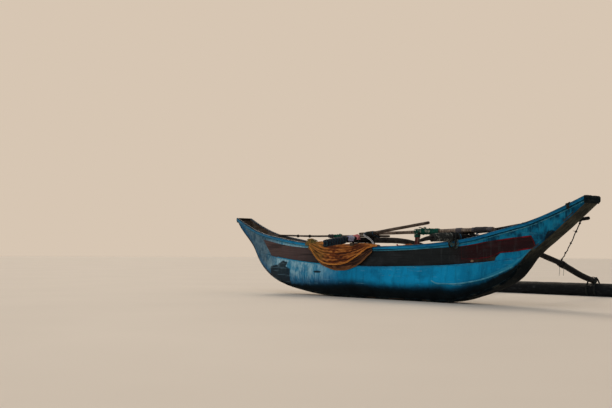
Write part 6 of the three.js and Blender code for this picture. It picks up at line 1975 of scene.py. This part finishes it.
    # a knot of red yarn on the near rail, and an orange line lying on the far one
    g = Geo()
    x = .564
    rope(g, tangle((x, -float(half_sheer(x)) - .018, float(rail_top(x)) + .015), (.019, .014, .010), 480, 4, 130), 0.0042, 9)
    rope(g, curve([(x - .01, -float(half_sheer(x)) - .020, float(rail_top(x)) + .0045), (x + .03, -float(half_sheer(x)) - .012, float(rail_top(x)) + .0040), (x + .06, -float(half_sheer(x)) - .022, float(rail_top(x)) + .0042)]), 0.0028, 9)
    done(g, "knot_red", [R_RED], ())
    g = Geo()
    for i, (a, b, h) in enumerate(((.10, .60, .0), (.20, .58, .009), (.29, .56, .018), (.34, .53, .027))):
        t = np.linspace(0, 1, 40)
        x = a + (b - a) * t
        zt = rail_top(x)
        p = np.stack([x, half_sheer(x) + .004 * np.sin(9 * t + i) + (.004 if i % 2 else -.004), zt + .0085 + h * np.sin(math.pi * np.clip(t, 0.02, 0.98)) ** .35 + .002 * np.sin(17 * t + i)], -1)
        rope(g, p, 0.0062, 9)
    done(g, "line_orange", [R_ORANGE], ())

    # two rope ends left hanging under the fore boom
    for i, (y, z1, L) in enumerate(((2.913, .432, .190), (3.056, .430, .150))):
        bx, bz, br = boom_at(BOOM_FORE, y)
        z0 = bz - br - 0.003
        n = 40
        t = np.linspace(0, 1, n)
        P = np.stack([bx + 0.004 * np.sin(t * 5 + i) * t, y + 0.006 * np.sin(t * 4 + 2 * i) * t, z0 - (z0 - z1) * t], -1)
        g = Geo()
        rope(g, P, 0.0036, 9)
        o = done(g, f"rope_end_{i + 1}", [R_DARK], ())
    g = Geo()
    for y in (2.913, 3.056):
        bx, bz, br = boom_at(BOOM_FORE, y)
        t = np.array([0.045, 1, -0.30])
        t /= np.linalg.norm(t)
        u = np.cross(t, (0, 0, 1))
        rope(g, coil((bx, y, bz), t, u / np.linalg.norm(u), circle(br + 0.0050), -0.006, 0.006, 2.1, 0.0006, 95), 0.0038, 9)
    done(g, "rope_end_turns", [R_DARK], ())


# ======================================================================
# net and cloth
# ======================================================================
NET_EDGE = np.array([(-1.85, .955), (-1.77, .905), (-1.66, .806), (-1.53, .708), (-1.42, .638), (-1.17, .558), (-.97, .523), (-.78, .524), (-.50, .583), (-.33, .666), (-.17, .790),
                     (-.04, .885)])
HEM = np.array([(-1.813, 1.0), (-1.738, .920), (-1.612, .796), (-1.466, .696), (-1.282, .641), (-1.022, .623), (-.728, .661), (-.499, .758), (-.349, .840), (-.164, .945), (-.03, .975),
                (.09, .990)])


def net_path(x, zb, off):
    """Line from inside the hull over the gunwale and down its side to height zb, at a clearance."""
    s, z, hl, zl = (float(f(x)) for f in (half_sheer, z_sheer, half_ledge, z_ledge))
    pts = [(s - .032 - off, z - .13), (s - .032 - off, z + .004), (s - .026 - off * .6, z + RAIL_LIP + .003 + off * .9), (s - .008, z + RAIL_LIP + .006 + off), (s + .022, z + RAIL_LIP + .006 + off),
           (s + .036 + off * .7, z + .010 + off * .5), (s + .038 + off, z - .010), (s + .039 + off, z - .046)]
    # below the rail it hangs free to the ledge, then lies on the swelling side
    foot = (hl + .004 + off, zl + .018)
    for f in (0.33, 0.66):
        pts.append((pts[7][0] + (foot[0] - pts[7][0]) * f ** 1.2, pts[7][1] + (foot[1] - pts[7][1]) * f))
    pts.append(foot)
    for d in (.03, .07, .11, .15, .19):
        pts.append((float(shell_y(x, zl - d)) + .004 + off, zl - d))
    return np.array(pts)


def drape(name, edge, x0, x1, off, seed, mats, nodes, folds, nx=150, ny=84, hem_w=0.03, thick=0.003, amp=1.0, top_bump=None, top_end=0.0):
    """Sheet over the gunwale, its folds running in nested bows from corner to corner."""
    eb = pchip(edge[:, 0], edge[:, 1])
    xs = np.linspace(x0, x1, nx)
    mid = np.zeros((nx, ny, 3))
    fold = np.zeros((nx, ny))
    uv = np.zeros((nx, ny, 3))
    w1 = Wob(seed, 1.0, 0.10, 0.7, 14)
    w2 = Wob(seed + 1, 1.0, 0.03, 0.14, 22)
    w3 = Wob(seed + 2, 1.0, 0.35, 1.6, 14)
    nest = np.zeros((nx, ny, 3))
    for i, x in enumerate(xs):
        zb = float(eb(x))
        pts = net_path(x, zb, off)
        seg = np.linalg.norm(np.diff(pts, axis=0), axis=1)
        s = np.concatenate([[0], np.cumsum(seg)])
        # where the line passes the lower edge
        k = 7
        s_hem = s[-1]
        for j in range(4, len(pts) - 1):
            if pts[j + 1][1] < zb <= pts[j][1]:
                s_hem = s[j] + (pts[j][1] - zb) / (pts[j][1] - pts[j + 1][1]) * (s[j + 1] - s[j])
                break
        s_top = s[3] + 0.4 * (s[4] - s[3])
        s_hem = max(s_hem, s_top + 0.05)
        n_in = 16
        t_in = np.linspace(top_end, 1, n_in, endpoint=False)
        t_out = np.linspace(0, 1, ny - n_in)
        sv = np.concatenate([s_top * t_in, s_top + (s_hem - s_top) * t_out])
        y = np.interp(sv, s, pts[:, 0])
        z = np.interp(sv, s, pts[:, 1])
        f = np.concatenate([-(1 - t_in), t_out])
        mid[i, :, 0], mid[i, :, 1], mid[i, :, 2] = x, y, z
        uv[i, :, 0], uv[i, :, 1] = x, sv
        # folds: rounded ridges at fixed shares of the drop, drifting along x
        h = np.zeros(ny)
        for fs, fw, fa, dr in folds:
            c = fs + dr * math.sin(3.0 * (x - x0) / (x1 - x0) + seed) + 0.012 * float(w1(x, fs * 3))
            a = fa * (0.75 + 0.35 * float(w1(x * 1.3, fs * 5)))
            q = (f - c) / fw
            h += a * np.exp(-q * q) - 0.35 * a * np.exp(-((q - 1.9) / 0.9) ** 2)
        # finer pleats that follow the same bows
        h += 0.22 * w3(x * 0.9, f * 9.0) + 0.12 * w3(x * 0.7 + 5.0, f * 21.0)
        fold[i] = h
        nest[i, :, 0], nest[i, :, 1] = x, f
    # smooth profile across the sheet's length a little
    for _ in range(2):
        mid[:, 1:-1, 1:] = (mid[:, :-2, 1:] + 2 * mid[:, 1:-1, 1:] + mid[:, 2:, 1:]) / 4
    ends = np.clip(np.minimum(xs - x0, x1 - xs) / 0.10, 0, 1)[:, None]
    X = mid[..., 0]
    d = fold * 0.010 * amp * (0.35 + 0.65 * ends) + 0.0011 * w2(X * 1.0, uv[..., 1]) + 0.0018 * w1(X, uv[..., 1] * 1.5)
    d = d - d.min() * 0.35
    # outward direction of the profile
    ty = np.gradient(mid[..., 1], axis=1)
    tz = np.gradient(mid[..., 2], axis=1)
    l = np.hypot(ty, tz)
    ny_, nz_ = -tz / l, ty / l
    nrm = np.stack([np.zeros_like(ny_), ny_, nz_], -1)
    mid = mid + nrm * np.maximum(d, 0)[..., None]
    # raised where it bunches over the rail, when top_bump is given
    if top_bump is not None:
        mid = top_bump(mid, uv)
    mid[..., 1] *= -1
    # true normals for the two faces
    du = np.gradient(mid, axis=0)
    dv = np.gradient(mid, axis=1)
    nn = np.cross(dv, du)
    nn /= np.linalg.norm(nn, axis=2)[..., None]
    if nn[nx // 2, -8, 1] > 0:
        nn = -nn
    a, b = mid + nn * thick / 2, mid - nn * thick / 2
    m = nx * ny
    q = grid_quads(nx, ny, close_v=False)
    rim = [i * ny for i in range(nx)] + [(nx - 1) * ny + j for j in range(1, ny)] + [i * ny + ny - 1 for i in range(nx - 2, -1, -1)] + [j for j in range(ny - 2, 0, -1)]
    walls = [(rim[k], rim[(k + 1) % len(rim)], m + rim[(k + 1) % len(rim)], m + rim[k]) for k in range(len(rim))]
    hem = np.clip(1 - (uv[:, -1:, 1] - uv[..., 1]) / hem_w, 0, 1)
    g = Geo()
    two = lambda t: np.concatenate([t.reshape(m, -1), t.reshape(m, -1)])
    g.add(np.concatenate([a.reshape(-1, 3), b.reshape(-1, 3)]), np.concatenate([q, (q + m)[:, ::-1], np.array(walls)]), None, 0,
          cloth=two(uv), nest=two(nest), fold=two(np.clip(fold * 0.5 + 0.35, 0, 1)).ravel(), hem=two(hem).ravel(), edge_dist=two(uv[:, -1:, 1] - uv[..., 1]).ravel())
    o = g.object(name, mats)
    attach(o, ROOT)
    if nodes:
        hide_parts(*nodes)
    e1 = np.linalg.norm(np.cross(du[:-1, :-1], dv[:-1, :-1]), axis=2).sum()
    return o, mid, float(e1)


def make_net():
    def hump(mid, uv):
        # bunched over the rail at its aft corner, and again under the boom's end
        X, Y, Z = mid[..., 0], mid[..., 1], mid[..., 2]
        top = np.clip((Z - (z_sheer(X) - 0.03)) / 0.045, 0, 1)
        up = 0.016 * np.exp(-((X + 0.30) / 0.16) ** 2) + 0.030 * np.exp(-((X + 1.40) / 0.14) ** 2)
        mid = mid.copy()
        mid[..., 2] = Z + up * top
        return mid

    folds_low = [(.15, .06, .5, .02), (.34, .07, .6, .03), (.55, .07, .6, .03), (.74, .06, .7, .02), (.90, .05, .9, .015)]
    low, mid, _ = drape("net_lower", NET_EDGE, -1.838, -0.045, 0.003, 500, [M_NET_SHADED], ["net_drape"], folds_low, amp=0.8, hem_w=0.028)
    folds_up = [(.06, .035, .8, .01), (.16, .045, 1.0, .02), (.29, .04, .8, .03), (.41, .05, 1.2, .03), (.55, .045, .9, .03), (.67, .05, 1.2, .02), (.79, .04, .9, .02), (.885, .035, .7, .01), (.965, .022, 1.5, .0)]
    up, mid, _ = drape("net_upper", HEM, -1.800, 0.080, 0.0165, 520, [M_NET], (), folds_up, nx=190, ny=104, amp=1.45, hem_w=0.034, top_bump=hump, top_end=0.35, thick=0.0035)


def thin_sheet(name, mid, uv, thick, mats):
    """Closed thin piece about a grid of points, with the cloth's own coordinates."""
    nx, ny = mid.shape[:2]
    du, dv = np.gradient(mid, axis=0), np.gradient(mid, axis=1)
    nn = np.cross(dv, du)
    nn /= np.maximum(np.linalg.norm(nn, axis=2), 1e-9)[..., None]
    a, b = mid + nn * thick / 2, mid - nn * thick / 2
    m = nx * ny
    q = grid_quads(nx, ny, close_v=False)
    rim = [i * ny for i in range(nx)] + [(nx - 1) * ny + j for j in range(1, ny)] + [i * ny + ny - 1 for i in range(nx - 2, -1, -1)] + [j for j in range(ny - 2, 0, -1)]
    walls = [(rim[k], rim[(k + 1) % len(rim)], m + rim[(k + 1) % len(rim)], m + rim[k]) for k in range(len(rim))]
    two = lambda t: np.concatenate([t.reshape(m, -1), t.reshape(m, -1)])
    f = np.full((nx, ny), 0.4)
    ends = np.minimum(uv[..., 0] - uv[..., 0].min(), uv[..., 0].max() - uv[..., 0])
    g = Geo()
    g.add(np.concatenate([a.reshape(-1, 3), b.reshape(-1, 3)]), np.concatenate([q, (q + m)[:, ::-1], np.array(walls)]), None, 0,
          cloth=two(uv), nest=two(uv), fold=two(f).ravel(), hem=two(np.clip(1 - ends / 0.01, 0, 1)).ravel(), edge_dist=two(ends).ravel())
    o = g.object(name, mats)
    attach(o, ROOT)
    return o


def wrap_boom(name, rows, y0, y1, gap, square, lump, turns, seed, mat, slack=1.0, start=2.2, close=False, ragged=0.0):
    """Cloth wound round a boom from y0 to y1, a little square where it is stiff, creased along and across."""
    rows = np.array(rows)
    fx, fz, fr = (pchip(rows[:, 1], rows[:, i]) for i in (0, 2, 3))
    nu, nv = max(24, int((y1 - y0) / 0.0065)), int(84 * turns)
    ys = np.linspace(y0, y1, nu)
    a = np.linspace(0, 2 * math.pi * turns, nv) + start
    w1, w2, w3 = Wob(seed, 1.0, 0.05, 0.30, 16), Wob(seed + 1, 1.0, 0.02, 0.08, 18), Wob(seed + 2, 1.0, 0.3, 1.5, 10)
    mid, uv = np.zeros((nu, nv, 3)), np.zeros((nu, nv, 3))
    s = 0.0
    for i, y in enumerate(ys):
        k = 2.0 + square * (0.8 + 0.4 * math.sin(9 * y + seed))
        r = float(fr(y)) * 1.03 + gap
        rad = r * (np.abs(np.cos(a)) ** k + np.abs(np.sin(a)) ** k) ** (-1 / k)
        over = (a - start) / (2 * math.pi) * 0.0052
        crease = 0.0024 * slack * w1(np.cos(a) * 0.10 + 1.0, y + np.sin(a) * 0.10) + 0.0014 * slack * w2(np.cos(a) * 0.06, y + np.sin(a) * 0.06)
        up = np.clip(np.sin(a), 0, 1) ** 2 * max(0.0, math.sin(math.pi * (y - y0) / (y1 - y0))) ** 0.6
        rad = rad + over + np.maximum(crease, -gap * 0.4) + lump * up * (0.75 + 0.25 * w3(y * 4, a * 0.4))
        yy = np.full(nv, y) + 0.004 * slack * w3(a * 0.25, y)
        if ragged:
            # uneven edges: the two ends of the piece wander
            f = 2 * (y - y0) / (y1 - y0) - 1
            yy = yy + ragged * f * (w3(a * 0.5 + (3.0 if f > 0 else 0.0), 0.7) + 0.6 * w1(a * 0.12, f * 0.2))
        mid[i] = np.stack([float(fx(y)) + rad * np.cos(a), yy, float(fz(y)) + rad * np.sin(a)], -1)
        uv[i, :, 0], uv[i, :, 1] = y - y0, a * 0.062
    if close:
        # turned in over the end of the log
        ends, cuts = [], []
        c = np.array([float(fx(y0)), y0, float(fz(y0))])
        for f in (0.10, 0.30, 0.52, 0.74, 0.92):
            q = c + (mid[0] - c) * f
            q[:, 1] = mid[0][:, 1] - 0.0055 * (1 - f ** 3) + 0.0016 * w2(np.cos(a) * 0.08 * f, np.sin(a) * 0.08 * f)
            ends.append(q)
            u = uv[0].copy()
            u[:, 0] -= 0.06 * (1 - f)
            cuts.append(u)
        mid, uv = np.concatenate([ends, mid]), np.concatenate([cuts, uv])
        uv[..., 0] -= uv[..., 0].min()
    o = thin_sheet(name, mid, uv, 0.0022, [mat])
    return o


def make_cloths():
    wrap_boom("wrap_boom_end", BOOM_AFT, -.980, -.505, .0070, 1.5, .006, 1.10, 601, M_NAVY, 1.5, close=True)
    wrap_boom("cloth_white", BOOM_AFT, -.430, -.245, .0075, .4, .022, .50, 611, M_WHITE, 3.2, start=-.42, ragged=.016)
    wrap_boom("cloth_pink", BOOM_AFT, -.210, -.105, .0075, .3, .078, .46, 621, M_PINK, 2.8, start=.02, ragged=.012)


R_DARK = rope_fibre("rope_tarred", (12, 13, 13), (36, 39, 38), (86, 88, 82))
R_BLACK = rope_fibre("rope_black", (7, 8, 8), (20, 21, 22), (50, 50, 48))
R_SERVE = rope_fibre("rope_serving", (13, 14, 14), (46, 48, 46), (116, 118, 112))
R_FLECK = rope_fibre("rope_flecks", (100, 100, 94), (156, 156, 146), (206, 204, 192))
R_OLIVE = rope_fibre("net_olive", (52, 44, 22), (118, 102, 54), (176, 156, 92))
R_GOLD = rope_fibre("net_gold_strand", (104, 66, 24), (176, 122, 50), (226, 176, 92))
R_RED = rope_fibre("yarn_red", (110, 16, 16), (188, 34, 30), (224, 90, 76))
R_ORANGE = rope_fibre("line_orange_fibre", (150, 66, 20), (212, 110, 44), (236, 160, 96))
R_GREY = rope_fibre("rope_grey", (50, 46, 48), (106, 99, 101), (166, 159, 160))
R_SLATE = rope_fibre("rope_slate", (34, 32, 34), (74, 70, 72), (132, 126, 127))
R_WEED = rope_fibre("rope_weathered", (30, 42, 42), (78, 98, 94), (150, 164, 152))
R_GREEN = rope_fibre("rope_green_fibre", (2, 30, 26), (8, 84, 70), (64, 150, 124))
R_PALE = rope_fibre("rope_pale", (110, 120, 104), (170, 178, 158), (214, 218, 200))
R_BLUE = rope_fibre("rope_blue_fibre", (10, 40, 66), (34, 94, 130), (104, 160, 186))
R_WHITE = rope_fibre("rope_white", (146, 142, 142), (212, 208, 206), (246, 242, 238))
M_THIN = log_wood("twig_wood", (24, 20, 18), (52, 42, 36), (92, 78, 66), crack=0)
M_NAVY = weave_cloth("wrap_navy", (6, 8, 12), (13, 17, 25), (30, 36, 46), 0.0035, bands=((26, 58, 70), 0.110))
M_WHITE = weave_cloth("rag_white", (84, 82, 100), (160, 156, 172), (222, 218, 222), 0.0030, bands=((66, 76, 150), 0.036))
M_PINK = weave_cloth("rag_pink", (110, 34, 44), (190, 84, 90), (232, 150, 146), 0.0030)
M_NET = weave_cloth("net_gold", (78, 34, 14), (124, 62, 26), (178, 104, 46), 0.010, hem=(234, 152, 66), nested=((42, 20, 12), (206, 130, 60)), west=(150, 108, 46))
# darker copy of the gold net for the lower layer: painted shade where it hangs under the upper layer
M_NET_SHADED = weave_cloth("net_gold_shaded", (34, 18, 14), (64, 36, 24), (104, 66, 40), 0.010, hem=(150, 98, 54), nested=((26, 14, 12), (132, 86, 52)), west=(96, 78, 42))

make_gunwale_lashings()
make_serving()
make_bands()
make_float_ties()
make_stay()
make_odd_ropes()
make_net()
make_cloths()


# ======================================================================
# floor
# ======================================================================
def floor():
    m = Mat("floor_pale")
    n = m.noise(m.obj, 0.35, 2)
    f = m.noise(m.obj, 90.0, 3)
    col = m.mix(n, (0.70, 0.635, 0.555), (0.77, 0.70, 0.615))
    m.finish(col, m.step(f, 0.3, 0.7, 0.72, 0.85), m.bump(f, 0.08, 0.001))
    g = Geo()
    k = 96
    rings = [0.0, 6.0, 14.0, 40.0, 150.0]
    verts = [(0.5, 1.0, 0.0)]
    for r in rings[1:]:
        verts += [(0.5 + r * math.cos(2 * math.pi * j / k), 1.0 + r * math.sin(2 * math.pi * j / k), 0.0) for j in range(k)]
    tris = [(0, 1 + j, 1 + (j + 1) % k) for j in range(k)]
    quads = [(1 + i * k + j, 1 + (i + 1) * k + j, 1 + (i + 1) * k + (j + 1) % k, 1 + i * k + (j + 1) % k) for i in range(3) for j in range(k)]
    g.add(verts, quads, tris)
    o = g.object("floor", [m.m], fix_normals=False)
    o.location.z = -0.0015


floor()

bpy.context.view_layer.update()
